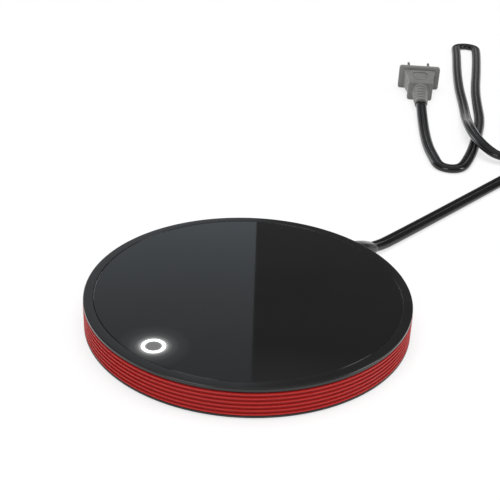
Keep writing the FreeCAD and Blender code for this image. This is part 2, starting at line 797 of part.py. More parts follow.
def make_sensors():
    along = polar(1.0, TAIL_ANGLE)
    across = polar(1.0, TAIL_ANGLE + 90)
    sensor_z = HEATER_Z - SENSOR_D / 2
    cutoff_z = HEATER_Z - CUTOFF_D / 2
    bead = Part.makeCylinder(SENSOR_D / 2, SENSOR_LEN, along * (-SENSOR_LEN / 2) + UP * sensor_z, along)
    cutoff = Part.makeCylinder(CUTOFF_D / 2, CUTOFF_LEN,
                               along * CUTOFF_OFFSET + across * (-CUTOFF_LEN / 2) + UP * cutoff_z, across)
    save(bead, "temperature_sensor")
    save(cutoff, "thermal_cutoff")


# Control board

def board_part(angle, radial, tangential, tall):
    return box_at(PARTS_R, angle, radial, tangential, BOARD_TOP, BOARD_TOP + tall)


def lying_can(angle, diameter, length, tangential=True):
    direction = polar(1.0, angle + 90) if tangential else polar(1.0, angle)
    centre = polar(PARTS_R, angle, BOARD_TOP + diameter / 2)
    return Part.makeCylinder(diameter / 2, length, centre - direction * (length / 2), direction)


def make_board():
    board = ring_sector(BOARD_OUT_R, BOARD_IN_R, BOARD_START, BOARD_END, BOARD_Z, BOARD_TOP)
    holes, screws = [], []
    for place in board_screw_places():
        holes.append(cylinder(SHIELD_SCREW_D + 2 * SCREW_CLEAR, BOARD_Z, BOARD_TOP, place.x, place.y))
        screws.append(downward_screw(place, BOARD_TOP, SHIELD_SCREW_D, BOARD_LIFT + BOARD_T,
                                     SHIELD_SCREW_HEAD_D, SHIELD_SCREW_HEAD_H))
    save(board.cut(group(holes)), "control_board")
    save(group(screws), "board_screws")
    save(board_part(MAINS_TERMINAL_ANGLE, *MAINS_TERMINAL_SIZE), "mains_terminal")
    save(lying_can(FUSE_ANGLE, FUSE_D, FUSE_LEN), "board_fuse")
    save(board_part(FILM_CAP_ANGLE, *FILM_CAP_SIZE), "film_capacitor")
    save(lying_can(CAN_CAP_ANGLE, CAN_CAP_D, CAN_CAP_LEN, tangential=False), "smoothing_capacitor")
    save(board_part(TRIAC_ANGLE, *TRIAC_SIZE), "heater_switch")
    save(board_part(CONTROLLER_ANGLE, *CONTROLLER_SIZE), "controller_chip")
    save(box_at(HEATER_TERMINAL_R, TAIL_ANGLE, HEATER_TERMINAL_L, TAIL_W - 2 * HEATER_TERMINAL_MARGIN,
                BOARD_TOP, HEATER_Z), "heater_terminals")
    save(box_at(SIGNAL_SOCKET_R, SIGNAL_SOCKET_ANGLE, *SIGNAL_SOCKET_SIZE[:2], BOARD_TOP,
                BOARD_TOP + SIGNAL_SOCKET_SIZE[2]), "signal_socket")


# Lead inside the case

def make_cores():
    """The two cores from the end of the sheath to the mains terminal, one above the other."""
    across = polar(1.0, EXIT_ANGLE + 90)
    into_terminal = polar(1.0, MAINS_TERMINAL_ANGLE + 90)
    cores = []
    for lift, side in ((0.0, -1), (CORE_RISE, 1)):
        z = CORE_LOW_Z + lift
        start = EXIT_DIR * SHEATH_END_R + UP * EXIT_Z + across * (side * CORE_SPLIT)
        end = polar(CORE_R, MAINS_TERMINAL_ANGLE, z) - into_terminal * (MAINS_TERMINAL_SIZE[1] / 2)
        points = [start, start - EXIT_DIR * CORE_TURN]
        points += [polar(CORE_R, angle, z) for angle in CORE_ANGLES]
        points += [end - into_terminal * CORE_END_RUN, end]
        cores.append(wire_lead(points, CORE_D))
    return cores


def make_strain_relief():
    flange_start = WALL_IN_R - FLANGE_T - NECK_FIT
    flange = exit_block(flange_start, WALL_IN_R - NECK_FIT, FLANGE_W, FLANGE_H)
    neck = exit_block(WALL_IN_R - NECK_FIT - JOIN, R + BOOT_GAP + JOIN, NECK_W, NECK_H)
    wires = []
    for radius, z, fall, wide, tall in BOOT_SECTIONS:
        tilt = math.radians(fall)
        ahead = EXIT_DIR * math.cos(tilt) - UP * math.sin(tilt)
        centre = EXIT_DIR * radius + UP * z
        wires.append(rounded_section(centre, ahead, wide, tall, tall * BOOT_CORNER_SHARE))
    boot = Part.makeLoft(wires, True, False)
    return fused([flange, neck, boot])


def make_lead_inside():
    flange_start = WALL_IN_R - FLANGE_T - NECK_FIT
    start = EXIT_DIR * SHEATH_END_R + UP * EXIT_Z
    sheath = Part.Face(cord_section(start, EXIT_DIR)).extrude(EXIT_DIR * (flange_start - SHEATH_END_R))
    save(sheath, "sheath_end")
    bar_z = EXIT_Z + CORD_T / 2
    bar = box_at(CLAMP_R, EXIT_ANGLE, CLAMP_LEN, CLAMP_W, bar_z, bar_z + CLAMP_T)
    holes, screws = [], []
    for place in clamp_places():
        holes.append(cylinder(CLAMP_SCREW_D + 2 * SCREW_CLEAR, bar_z, bar_z + CLAMP_T, place.x, place.y))
        screws.append(downward_screw(place, bar_z + CLAMP_T, CLAMP_SCREW_D, CLAMP_SCREW_LEN,
                                     CLAMP_SCREW_HEAD_D, CLAMP_SCREW_HEAD_H))
    save(bar.cut(group(holes)), "cord_clamp")
    save(group(screws), "clamp_screws")
    save(make_strain_relief(), "strain_relief")


# Stored coil

def coil_point(turned_by):
    """Middle of the lead after a turn of so many degrees from the start of the coil."""
    climb = (turned_by - (COIL_SWEEP - COIL_CLIMB) / 2) / COIL_CLIMB
    climb = max(0.0, min(1.0, climb))
    from_end = min(turned_by, COIL_SWEEP - turned_by)
    radius = COIL_R - COIL_PITCH * from_end / 360 - COIL_TUCK * math.sin(math.pi * climb) ** 2
    z = CORD_LIFT + CORD_T / 2 + COIL_LAYER * climb * climb * (3 - 2 * climb)
    return Vector(COIL_X, COIL_Y, z) + polar(radius, COIL_START - turned_by)


def coil_state(turned_by):
    """Point of the coil and its direction there."""
    step = 0.5
    ahead = coil_point(turned_by + step) - coil_point(turned_by - step)
    if turned_by < step or turned_by > COIL_SWEEP - step:
        ahead = polar(1.0, COIL_START - turned_by - 90)
    ahead.normalize()
    return coil_point(turned_by), ahead


def arc_edge(start, ahead, end):
    """Arc from start, leaving along ahead, to end."""
    chord = end - start
    along = Vector(chord)
    along.normalize()
    side = ahead - along * ahead.dot(along)
    if side.Length < 1e-7:
        return Part.LineSegment(start, end).toShape()
    angle = ahead.getAngle(along)
    side.normalize()
    middle = start + chord * 0.5 + side * (chord.Length / 2 * math.tan(angle / 2))
    return Part.Arc(start, middle, end).toShape()


def biarc(start, ahead, end, arriving):
    """Two arcs with one tangent where they meet."""
    chord = end - start
    both = ahead + arriving
    spread = 2 * (ahead.dot(arriving) - 1)
    reach = chord.dot(both)
    if abs(spread) < 1e-9:
        length = chord.dot(chord) / (2 * reach)
    else:
        length = (reach - math.sqrt(reach * reach - spread * chord.dot(chord))) / spread
    meet = (start + ahead * length + end - arriving * length) * 0.5
    meet_ahead = (end - arriving * length) - (start + ahead * length)
    meet_ahead.normalize()
    return [arc_edge(start, ahead, meet), arc_edge(meet, meet_ahead, end)]


def coil_knots():
    """Turns at which the arcs of the coil meet, closer together in the half turn of the climb."""
    half = (COIL_SWEEP - COIL_CLIMB) / 2
    side = COIL_SPANS // 2 - 1
    first = [half * i / side for i in range(side + 1)] + [half + COIL_CLIMB / 4]
    return first + [COIL_SWEEP / 2] + [COIL_SWEEP - turn for turn in reversed(first)]


def make_coil():
    knots = [coil_state(turn) for turn in coil_knots()]
    start, ahead = knots[0]
    end, leaving = knots[-1]
    edges = [Part.LineSegment(start - ahead * COIL_TAIL, start).toShape()]
    for (p0, t0), (p1, t1) in zip(knots, knots[1:]):
        edges += biarc(p0, t0, p1, t1)
    edges.append(Part.LineSegment(end, end + leaving * COIL_TAIL).toShape())
    path = Part.Wire(edges)
    print("coil arc radii", [round(e.Curve.Radius, 1) for e in edges if hasattr(e.Curve, "Radius")])
    print("coil least gap to itself", round(least_gap(path, math.pi * COIL_R / 2), 2))
    return path, start - ahead * COIL_TAIL, ahead, end + leaving * COIL_TAIL, leaving


def least_gap(path, apart):
    """Least clear space between stretches of the lead that lie further apart along it than apart."""
    points = path.discretize(Distance=GAP_STEP)
    skip = int(apart / GAP_STEP)
    flat_part = CORD_W - CORD_T
    best = path.Length
    for i, a in enumerate(points):
        for b in points[i + skip:]:
            beside = max(0.0, math.hypot(a.x - b.x, a.y - b.y) - flat_part)
            best = min(best, math.hypot(beside, a.z - b.z) - CORD_T)
    return best


# Plug, first in its own frame: X ahead along the blades from the front face, Z the thin way

def plug_block(x0, x1, wide0, tall0, wide1, tall1, corner=PLUG_CORNER):
    first = rounded_section(Vector(x0, 0, 0), Vector(1, 0, 0), wide0, tall0, corner)
    last = rounded_section(Vector(x1, 0, 0), Vector(1, 0, 0), wide1, tall1, corner)
    return Part.makeLoft([first, last], True, True)


def plug_neck(x0):
    """Tapered round neck with grooves that let it bend."""
    step = PLUG_NECK_LEN / (2 * PLUG_RIBS)

    def radius(along):
        share = along / PLUG_NECK_LEN
        return (PLUG_NECK_D + (PLUG_NECK_END_D - PLUG_NECK_D) * share) / 2

    points = [Vector(x0, 0, 0), Vector(x0, radius(0), 0)]
    for i in range(PLUG_RIBS):
        rib, groove = 2 * i * step, (2 * i + 1) * step
        if i:
            points.append(Vector(x0 - rib, radius(rib), 0))
        points.append(Vector(x0 - groove, radius(groove), 0))
        points.append(Vector(x0 - groove, radius(groove) - PLUG_GROOVE_DEPTH, 0))
        points.append(Vector(x0 - groove - step * 0.6, radius(groove) - PLUG_GROOVE_DEPTH, 0))
        points.append(Vector(x0 - groove - step * 0.6, radius(groove + step), 0))
    end = x0 - PLUG_NECK_LEN
    points.append(Vector(end, PLUG_NECK_END_D / 2, 0))
    points.append(Vector(end, 0, 0))
    points.append(points[0])
    face = Part.Face(Part.makePolygon(points))
    return face.revolve(Vector(0, 0, 0), Vector(1, 0, 0), 360)


def grip_outline(z):
    half, length = GRIP_W / 2, GRIP_LEN / 2
    middle = -PLUG_FLANGE_T - PLUG_BODY_LEN / 2
    upper = [Vector(middle + along * length, across * half, z) for along, across in GRIP_OUTLINE]
    lower = [Vector(p.x, -p.y, z) for p in reversed(upper)]
    return Part.Face(Part.makePolygon(upper + lower + upper[:1]))


def plug_parts():
    body_x = -PLUG_FLANGE_T
    collar_x = body_x - PLUG_BODY_LEN
    neck_x = collar_x - PLUG_COLLAR_T
    body = fused([
        plug_block(0, body_x, PLUG_FLANGE_W, PLUG_FLANGE_H, PLUG_FLANGE_W, PLUG_FLANGE_H),
        plug_block(body_x, collar_x, PLUG_BODY_W, PLUG_BODY_H, PLUG_BODY_END_W, PLUG_BODY_END_H),
        plug_block(collar_x, neck_x, PLUG_COLLAR_W, PLUG_COLLAR_H, PLUG_COLLAR_W, PLUG_COLLAR_H),
        plug_neck(neck_x),
    ])
    pocket = Part.makeBox(INSERT_LEN, INSERT_W, INSERT_H, Vector(-INSERT_LEN, -INSERT_W / 2, -INSERT_H / 2))
    middle_h = (PLUG_BODY_H + PLUG_BODY_END_H) / 2
    dents = [
        grip_outline(side * (middle_h / 2 - GRIP_DEPTH)).extrude(Vector(0, 0, side * PLUG_BODY_H))
        for side in (-1, 1)
    ]
    body = body.cut(group([pocket] + dents))
    slots, blades = [], []
    for side in (-1, 1):
        y = side * BLADE_SPACING / 2
        blade = Part.makeBox(BLADE_ROOT + BLADE_LEN - BLADE_W / 2, BLADE_T, BLADE_W,
                             Vector(-BLADE_ROOT, y - BLADE_T / 2, -BLADE_W / 2))
        nose = Part.makeCylinder(BLADE_W / 2, BLADE_T,
                                 Vector(BLADE_LEN - BLADE_W / 2, y - BLADE_T / 2, 0), Vector(0, 1, 0))
        blade = fused([blade, nose])
        blades.append(blade)
        slots.append(Part.makeBox(BLADE_ROOT + PAST, BLADE_T, BLADE_W,
                                  Vector(-BLADE_ROOT, y - BLADE_T / 2, -BLADE_W / 2)))
    insert = pocket.cut(group(slots))
    body = body.cut(group(slots))
    return body, insert, blades


def plug_tilt():
    """The plug lies on the lower edges of its flange and of its collar."""
    run = PLUG_BODY_LEN + PLUG_COLLAR_T
    return math.degrees(math.atan((PLUG_FLANGE_H - PLUG_COLLAR_H) / 2 / run))


def plug_length():
    return PLUG_FLANGE_T + PLUG_BODY_LEN + PLUG_COLLAR_T + PLUG_NECK_LEN


def place_plug(shape):
    """Lay the plug on the surface with the end of its neck at its place."""
    tilt = plug_tilt()
    placed = shape.copy()
    placed.rotate(Vector(0, 0, 0), Vector(0, 1, 0), -tilt)
    placed.rotate(Vector(0, 0, 0), UP, PLUG_HEADING)
    placed.translate(plug_origin())
    return placed


def plug_direction():
    level = math.cos(math.radians(plug_tilt()))
    return polar(level, PLUG_HEADING, math.sin(math.radians(plug_tilt())))


def plug_origin():
    """Middle of the plug's front face."""
    tilt = math.radians(plug_tilt())
    front_z = PLUG_FLANGE_H / 2 * math.cos(tilt) + PLUG_FLANGE_T * math.sin(tilt)
    neck = Vector(PLUG_NECK_X, PLUG_NECK_Y, 0)
    ahead = plug_direction() * plug_length()
    return Vector(neck.x + ahead.x, neck.y + ahead.y, front_z)


def neck_end():
    return plug_origin() - plug_direction() * plug_length()


def make_plug():
    body, insert, blades = plug_parts()
    save(place_plug(body), "plug_body")
    save(place_plug(insert), "plug_insert")
    save(group([place_plug(b) for b in blades]), "plug_blades")


# Lead outside the case

def make_cord():
    coil_path, coil_in, coil_ahead, coil_out, coil_leaving = make_coil()
    lead_points = [Vector(*p) for p in LEAD_ROUTE] + [coil_in]
    lead_path = rounded_path(lead_points, "lead")
    lead_section = cord_section(lead_points[0], lead_points[1] - lead_points[0])
    save(checked_tube(lead_path, lead_section, "lead", upright=False), "cord_lead")
    save(checked_tube(coil_path, cord_section(coil_in, coil_ahead), "coil"), "cord_coil")
    end = neck_end()
    tail_points = [coil_out, coil_out + coil_leaving * COIL_LEAVE_RUN]
    tail_points += [Vector(*p) for p in TAIL_ROUTE]
    tail_points += [end - plug_direction() * PLUG_END_RUN, end + plug_direction() * PLUG_CORNER / 2]
    tail_path = rounded_path(tail_points, "tail")
    print("tail least gap to itself", round(least_gap(tail_path, TAIL_APART), 2))
    tail = checked_tube(tail_path, cord_section(coil_out, coil_leaving), "tail")
    save(tail.cut(place_plug(plug_parts()[0])), "cord_tail")
    total = lead_path.Length + coil_path.Length + tail_path.Length
    print("whole lead outside the case", round(total, 1), "coil from", coil_in, "to", coil_out,
          "neck end", end)


def in_tail_frame(along, across, z):
    """Place given along and across the direction of the heater's tail."""
    return polar(along, TAIL_ANGLE, z) + polar(across, TAIL_ANGLE + 90)


def make_sensor_wires():
    end = polar(SIGNAL_SOCKET_R - SIGNAL_SOCKET_SIZE[0] / 2, SIGNAL_SOCKET_ANGLE, SENSOR_WIRE_Z)
    wires = []
    for side in (-1, 1):
        shift = side * SENSOR_WIRE_SPACING / 2
        stop = end + polar(shift, SIGNAL_SOCKET_ANGLE + 90)
        wires.append(wire_lead([
            in_tail_frame(SENSOR_LEN / 2 - SENSOR_WIRE_D, shift / 2, HEATER_Z - SENSOR_D),
            in_tail_frame(SENSOR_LEN / 2 - SENSOR_WIRE_D, shift, SENSOR_WIRE_Z),
            stop - polar(SENSOR_WIRE_RUN, SIGNAL_SOCKET_ANGLE),
            stop,
        ], SENSOR_WIRE_D))
    return wires


def make_cutoff_wires():
    end_r = HEATER_TERMINAL_R - HEATER_TERMINAL_L / 2
    wires = []
    for side in (-1, 1):
        across = side * (CUTOFF_LEN / 2 - CUTOFF_WIRE_D)
        wires.append(wire_lead([
            in_tail_frame(CUTOFF_OFFSET, across, HEATER_Z - CUTOFF_D),
            in_tail_frame(CUTOFF_OFFSET, across, CUTOFF_WIRE_Z),
            in_tail_frame(end_r - CUTOFF_WIRE_RUN, side * CUTOFF_WIRE_SPAN / 2, CUTOFF_WIRE_Z),
            in_tail_frame(end_r, side * CUTOFF_WIRE_SPAN / 2, CUTOFF_WIRE_Z),
        ], CUTOFF_WIRE_D))
    return wires


def make_key_wires():
    """From under the key's board, past the case screw and the shield's tab, to the signal socket."""
    socket_side = SIGNAL_SOCKET_SIZE[1] / 2
    toward = polar(1.0, SIGNAL_SOCKET_ANGLE + 90)
    start_r = KEY_R - KEY_WIRE_INSET
    wires = []
    for i in range(KEY_WIRE_COUNT):
        shift = (i - (KEY_WIRE_COUNT - 1) / 2) * KEY_WIRE_SPACING
        end = polar(SIGNAL_SOCKET_R + shift, SIGNAL_SOCKET_ANGLE, KEY_WIRE_Z) + toward * socket_side
        points = [
            polar(start_r + shift, KEY_ANGLE, KEY_BOARD_TOP - KEY_BOARD_T),
            polar(start_r + shift, KEY_ANGLE, KEY_WIRE_Z + KEY_WIRE_RISE),
            polar(start_r + KEY_WIRE_STEP + shift, KEY_ANGLE - KEY_WIRE_TURN, KEY_WIRE_Z),
        ]
        points += [polar(TAB_R + past + shift, angle, KEY_WIRE_Z) for angle, past in KEY_WIRE_ROUTE]
        wires.append(wire_lead(points + [end + toward * KEY_WIRE_RUN, end], KEY_WIRE_D))
    return wires


def make_inner_leads():
    save(group(make_cores()), "mains_cores")
    save(group(make_sensor_wires()), "sensor_wires")
    save(group(make_cutoff_wires()), "cutoff_wires")
    save(group(make_key_wires()), "key_wires")


def main():
    os.makedirs("parts", exist_ok=True)
    make_case()
    make_key()
    make_heating()
    make_sensors()
    make_board()
    make_lead_inside()
    make_inner_leads()
    make_cord()
    make_plug()


main()
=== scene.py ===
import json
import math

import bmesh
import bpy
from mathutils import Matrix, Vector


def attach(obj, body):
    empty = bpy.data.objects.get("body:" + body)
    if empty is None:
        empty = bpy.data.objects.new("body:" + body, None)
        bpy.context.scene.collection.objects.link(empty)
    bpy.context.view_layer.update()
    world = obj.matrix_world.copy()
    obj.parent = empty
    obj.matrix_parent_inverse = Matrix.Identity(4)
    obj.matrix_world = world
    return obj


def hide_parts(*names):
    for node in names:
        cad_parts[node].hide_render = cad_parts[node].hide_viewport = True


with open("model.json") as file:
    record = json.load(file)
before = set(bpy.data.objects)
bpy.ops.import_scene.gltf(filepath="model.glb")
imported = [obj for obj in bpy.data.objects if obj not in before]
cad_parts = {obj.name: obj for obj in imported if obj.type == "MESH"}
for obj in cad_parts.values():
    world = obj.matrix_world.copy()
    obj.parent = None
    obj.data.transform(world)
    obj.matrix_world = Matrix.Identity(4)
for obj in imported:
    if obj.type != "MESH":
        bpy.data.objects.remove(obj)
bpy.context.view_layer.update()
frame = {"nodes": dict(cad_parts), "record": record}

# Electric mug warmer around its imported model. Metres, +Z up, the origin under the middle of the disc.
# Sizes of pieces are written in millimetres and multiplied by MM.
MM = 0.001

# Camera of the photograph
CAMERA_PLACE = (0.0, -0.3411, 0.2171)
CAMERA_PITCH = 28.55
CAMERA_ROLL = 2.14
CAMERA_LENS = 72.1
CAMERA_SENSOR = 36.0
CAMERA_NEAR = 0.01

# Case, as built
CASE_R = 65.0
BAND_LOW = 1.5
BAND_HIGH = 11.1
BAND_T = 1.8
RIB_COUNT = 6
RIB_PROUD = 0.5
RIB_ROOT_W = 1.0
RIB_CREST_W = 0.5
RIB_MARGIN = 0.05
EDGE_R = 64.9
EDGE_LOW = 11.6
EDGE_OVERHANG = 0.6
SKIRT_R = 63.0
SKIRT_LOW = 9.7
LEDGE_R = 58.5
LEDGE_Z = 10.7
TOP_Z = 13.0
GLASS_LOW = 11.0
RECESS_R = 61.0
GLASS_R = 60.9
KEY_X = -33.48
KEY_Y = -41.08
EXIT_ANGLE = 46.8
EXIT_Z = 6.3
EXIT_W = 7.6
EXIT_H = 5.4
EXIT_CORNER = 2.0
EXIT_CUT_IN = 4.0
EXIT_CUT_OUT = 2.0

# Softened edges of the case and the lit mark of the key
RIB_ROOT_ROUND = 0.03
RIB_CREST_ROUND = 0.14
EDGE_TOP_ROUND = 0.42
EDGE_LOW_ROUND = 0.16
GAP_ROUND = 0.1
RECESS_ROUND = 0.2
GLASS_LOW_ROUND = 0.1
GLASS_TOP_ROUND = 0.32
EDGE_STEPS = 5
KEY_MARK_IN_R = 3.15
KEY_MARK_OUT_R = 4.5
KEY_MARK_PROUD = 0.012
KEY_MARK_DEPTH = 0.2
KEY_MARK_STEPS = 96

# Lead, as built
CORD_W = 6.3
CORD_T = 3.8
CORD_Z = 2.0
COIL_X = 187.0
COIL_Y = 144.0
COIL_R = 39.5
COIL_PITCH = 6.9
COIL_LAYER = 4.4
COIL_TUCK = 2.0
COIL_START = 137.8
COIL_SWEEP = 1107.8
COIL_CLIMB = 180.0
COIL_STEPS = 74
COIL_TAIL = 6.0
COIL_LEAVE_RUN = 10.0
LEAD_IN_PLUG = 1.0
SPLINE_STEPS = 14

# Outline of the lead: degrees of each core from its outer side to the groove, and the groove's height
CORE_REACH = 133.0
CORE_STEPS = 9
GROOVE_SHARE = 0.86

LEAD_ROUTE = (
    (55.11, 58.68, 3.40),
    (58.7, 62.5, 2.35),
    (64.6, 68.6, 2.00),
    (112.0, 120.1, 2.00),
    (136.04, 146.61, 2.00),
)

TAIL_ROUTE = (
    (200.5, 194.5, 3.60),
    (208.6, 204.5, 2.10),
    (210.5, 218.5, 2.00),
    (203.5, 236.5, 2.00),
    (187.5, 247.5, 2.00),
    (168.5, 244.1, 2.00),
    (154.5, 228.0, 2.00),
    (151.0, 208.0, 2.00),
    (151.5, 191.0, 2.00),
    (149.2, 178.5, 2.10),
    (142.0, 169.2, 3.00),
    (133.2, 168.4, 4.60),
    (127.8, 177.0, 6.20),
    (124.9, 192.0, 6.60),
    (124.8, 208.0, 6.20),
    (126.6, 227.0, 3.20),
    (129.6, 252.0, 2.00),
    (132.0, 284.0, 2.00),
    (136.6, 320.0, 2.00),
    (140.0, 342.0, 2.00),
    (142.4, 358.0, 2.00),
    (143.6, 367.5, 2.00),
    (145.0, 376.5, 2.00),
    (152.5, 379.7, 2.00),
    (159.0, 374.8, 2.00),
    (157.7, 364.4, 2.00),
    (154.6, 346.0, 2.00),
    (149.4, 318.0, 2.00),
    (142.2, 282.0, 2.00),
    (138.4, 254.0, 2.00),
    (135.4, 228.0, 2.00),
    (129.4, 204.0, 2.00),
    (123.4, 183.0, 2.00),
    (117.4, 166.4, 2.00),
    (112.2, 155.3, 2.00),
    (105.7, 153.2, 2.00),
    (100.0, 157.1, 2.00),
    (99.0, 167.5, 2.00),
    (98.0, 183.0, 2.00),
    (98.6, 201.0, 2.00),
    (99.8, 218.0, 2.40),
)

# Plug, as built, along its own +X with the front face at 0
PLUG_HEADING = 85.0
PLUG_NECK_X = 102.0
PLUG_NECK_Y = 246.0
PLUG_FLANGE_W = 26.0
PLUG_FLANGE_H = 15.0
PLUG_FLANGE_T = 3.0
PLUG_BODY_W = 20.0
PLUG_BODY_END_W = 13.5
PLUG_BODY_H = 11.5
PLUG_BODY_END_H = 10.0
PLUG_BODY_LEN = 18.5
PLUG_COLLAR_W = 15.5
PLUG_COLLAR_H = 12.0
PLUG_COLLAR_T = 3.4
PLUG_NECK_D = 11.0
PLUG_NECK_END_D = 7.8
PLUG_NECK_LEN = 19.0
PLUG_END_RUN = 14.0
BLADE_W = 6.3
BLADE_T = 1.5
BLADE_LEN = 17.5
BLADE_SPACING = 12.7
BLADE_ROOT = 9.0
BLADE_TIP_SHARE = 0.62
BLADE_TIP_STEPS = 16
BLADE_EDGE = 0.22
INSERT_W = 17.0
INSERT_H = 8.4
INSERT_CORNER = 0.3
INSERT_LEN = 8.0
INSERT_CUT_PAST = 0.5

# Corners, softened edges and seams of the plug
PLUG_CORNER_STEPS = 9
FLANGE_CORNER = 1.6
FLANGE_EDGE = 0.45
BODY_CORNER = 1.3
BODY_EDGE = 0.3
COLLAR_CORNER = 1.5
COLLAR_EDGE = 0.4
SEAM_W = 0.7
SEAM_CORNER = 1.2
FRONT_SEAM_DEPTH = 0.8
BACK_SEAM_DEPTH = 0.7

# Slots of the plug's neck. Webs are in shares of a side, slots in shares of a pitch
# and plain ends in shares of the neck.
NECK_STEPS = 84
NECK_PITCHES = 5.6
NECK_SLOT_DEPTH = 1.0
NECK_WEB_START = 0.34
NECK_WEB_EDGE = 0.08
NECK_SLOT_HALF = 0.25
NECK_SLOT_EDGE = 0.07
NECK_PLAIN_FRONT = 0.06
NECK_PLAIN_END = 0.97
NECK_PLAIN_EDGE = 0.02
NECK_END_ROUND = 0.35
NECK_END_SHARE = 0.9

# Steps round the case and the angles in degrees up to which pieces are shaded smooth
ROUND_STEPS = 288
SMOOTH = 35.0
CAD_SMOOTH = 30.0
ROUND_SMOOTH = 50.0
BOOT_SMOOTH = 40.0
LEAD_SMOOTH = 60.0
PLUG_SMOOTH = 32.0
RIM_SMOOTH = 60.0
PAD_SMOOTH = 80.0
BLADE_SMOOTH = 40.0


# Small helpers

def polar(radius, angle, z=0.0):
    """Point at a distance and an angle in degrees from the middle."""
    turn = math.radians(angle)
    return Vector((radius * math.cos(turn), radius * math.sin(turn), z))


def mesh_piece(name, verts, faces, smooth_angle=SMOOTH):
    """Mesh object from points in millimetres."""
    mesh = bpy.data.meshes.new(name)
    mesh.from_pydata([Vector(v) * MM for v in verts], [], faces)
    mesh.validate()
    piece = bpy.data.objects.new(name, mesh)
    bpy.context.scene.collection.objects.link(piece)
    tidy_mesh(piece, smooth_angle)
    return piece


def tidy_mesh(piece, smooth_angle=SMOOTH):
    """Join points that coincide, turn the faces outwards and shade the piece smooth."""
    mesh = piece.data
    work = bmesh.new()
    work.from_mesh(mesh)
    bmesh.ops.remove_doubles(work, verts=work.verts, dist=1e-7)
    bmesh.ops.recalc_face_normals(work, faces=work.faces)
    work.to_mesh(mesh)
    work.free()
    mesh.shade_smooth()
    mesh.set_sharp_from_angle(angle=math.radians(smooth_angle))


def lathe(name, profile, steps=ROUND_STEPS, smooth_angle=SMOOTH):
    """Closed outline of (radius, height) points turned round +Z."""
    verts = []
    faces = []
    count = len(profile)
    for i in range(steps):
        angle = 360.0 * i / steps
        for radius, z in profile:
            verts.append(polar(radius, angle, z))
    for i in range(steps):
        here = i * count
        there = (i + 1) % steps * count
        for j in range(count):
            k = (j + 1) % count
            faces.append((here + j, there + j, there + k, here + k))
    return mesh_piece(name, verts, faces, smooth_angle)


def rounded(points, radii, steps=4):
    """Outline with each corner that has a radius turned into an arc."""
    result = []
    count = len(points)
    for i, (point, radius) in enumerate(zip(points, radii)):
        here = Vector(point)
        if not radius:
            result.append(tuple(here))
            continue
        before = (Vector(points[i - 1]) - here).normalized()
        after = (Vector(points[(i + 1) % count]) - here).normalized()
        half = before.angle(after) / 2
        setback = radius / math.tan(half)
        centre = here + (before + after).normalized() * (radius / math.sin(half))
        first = here + before * setback - centre
        last = here + after * setback - centre
        for s in range(steps + 1):
            spot = first.lerp(last, s / steps).normalized() * radius
            result.append(tuple(centre + spot))
    return result


def cap(verts, faces, first, count, flip):
    """Close a ring of points with a fan to its middle."""
    middle = Vector((0, 0, 0))
    for i in range(count):
        middle += Vector(verts[first + i])
    verts.append(middle / count)
    centre = len(verts) - 1
    for i in range(count):
        a = first + i
        b = first + (i + 1) % count
        faces.append((centre, b, a) if flip else (centre, a, b))


def skin(ring_count, count, closed=False):
    """Faces between rings of equally many points, and from the last to the first where closed."""
    faces = []
    for i in range(ring_count if closed else ring_count - 1):
        here = i * count
        there = (i + 1) % ring_count * count
        for j in range(count):
            k = (j + 1) % count
            faces.append((here + j, here + k, there + k, there + j))
    return faces


def loft(name, rings, smooth_angle=SMOOTH):
    """Skin over rings of equally many points, closed at both ends."""
    verts = [p for ring in rings for p in ring]
    count = len(rings[0])
    faces = skin(len(rings), count)
    cap(verts, faces, 0, count, True)
    cap(verts, faces, (len(rings) - 1) * count, count, False)
    return mesh_piece(name, verts, faces, smooth_angle)


LEAST_FLAT = 0.01


def box_ring(wide, tall, corner, steps=6):
    """Points (across, up) of a rounded rectangle."""
    corner = min(corner, wide / 2 - LEAST_FLAT, tall / 2 - LEAST_FLAT)
    points = []
    for sx, sy, start in ((1, 1, 0), (-1, 1, 90), (-1, -1, 180), (1, -1, 270)):
        cx = sx * (wide / 2 - corner)
        cy = sy * (tall / 2 - corner)
        for s in range(steps + 1):
            turn = math.radians(start + 90.0 * s / steps)
            points.append((cx + corner * math.cos(turn), cy + corner * math.sin(turn)))
    return points


def cut_with(piece, cutter):
    """Boolean difference, applied, with the cutter removed."""
    change = piece.modifiers.new("cut", "BOOLEAN")
    change.operation = "DIFFERENCE"
    change.solver = "EXACT"
    change.object = cutter
    apply_modifiers(piece)
    bpy.data.objects.remove(cutter)


def apply_modifiers(piece):
    """Keep the shape that the modifiers give and remove them."""
    bpy.context.view_layer.update()
    graph = bpy.context.evaluated_depsgraph_get()
    done = bpy.data.meshes.new_from_object(piece.evaluated_get(graph), depsgraph=graph)
    old = piece.data
    piece.modifiers.clear()
    piece.data = done
    done.name = piece.name
    bpy.data.meshes.remove(old)


def dress(piece, material):
    """Finish of a piece and the body it rides on."""
    piece.data.materials.clear()
    piece.data.materials.append(material)
    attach(piece, "root")


# Materials

def empty_material(name):
    material = bpy.data.materials.new(name)
    material.use_nodes = True
    tree = material.node_tree
    tree.nodes.clear()
    output = tree.nodes.new("ShaderNodeOutputMaterial")
    return material, tree, output


def node_material(name):
    material, tree, output = empty_material(name)
    shader = tree.nodes.new("ShaderNodeBsdfPrincipled")
    tree.links.new(shader.outputs["BSDF"], output.inputs["Surface"])
    return material, tree, shader


EVEN = (1.0, 1.0, 1.0)


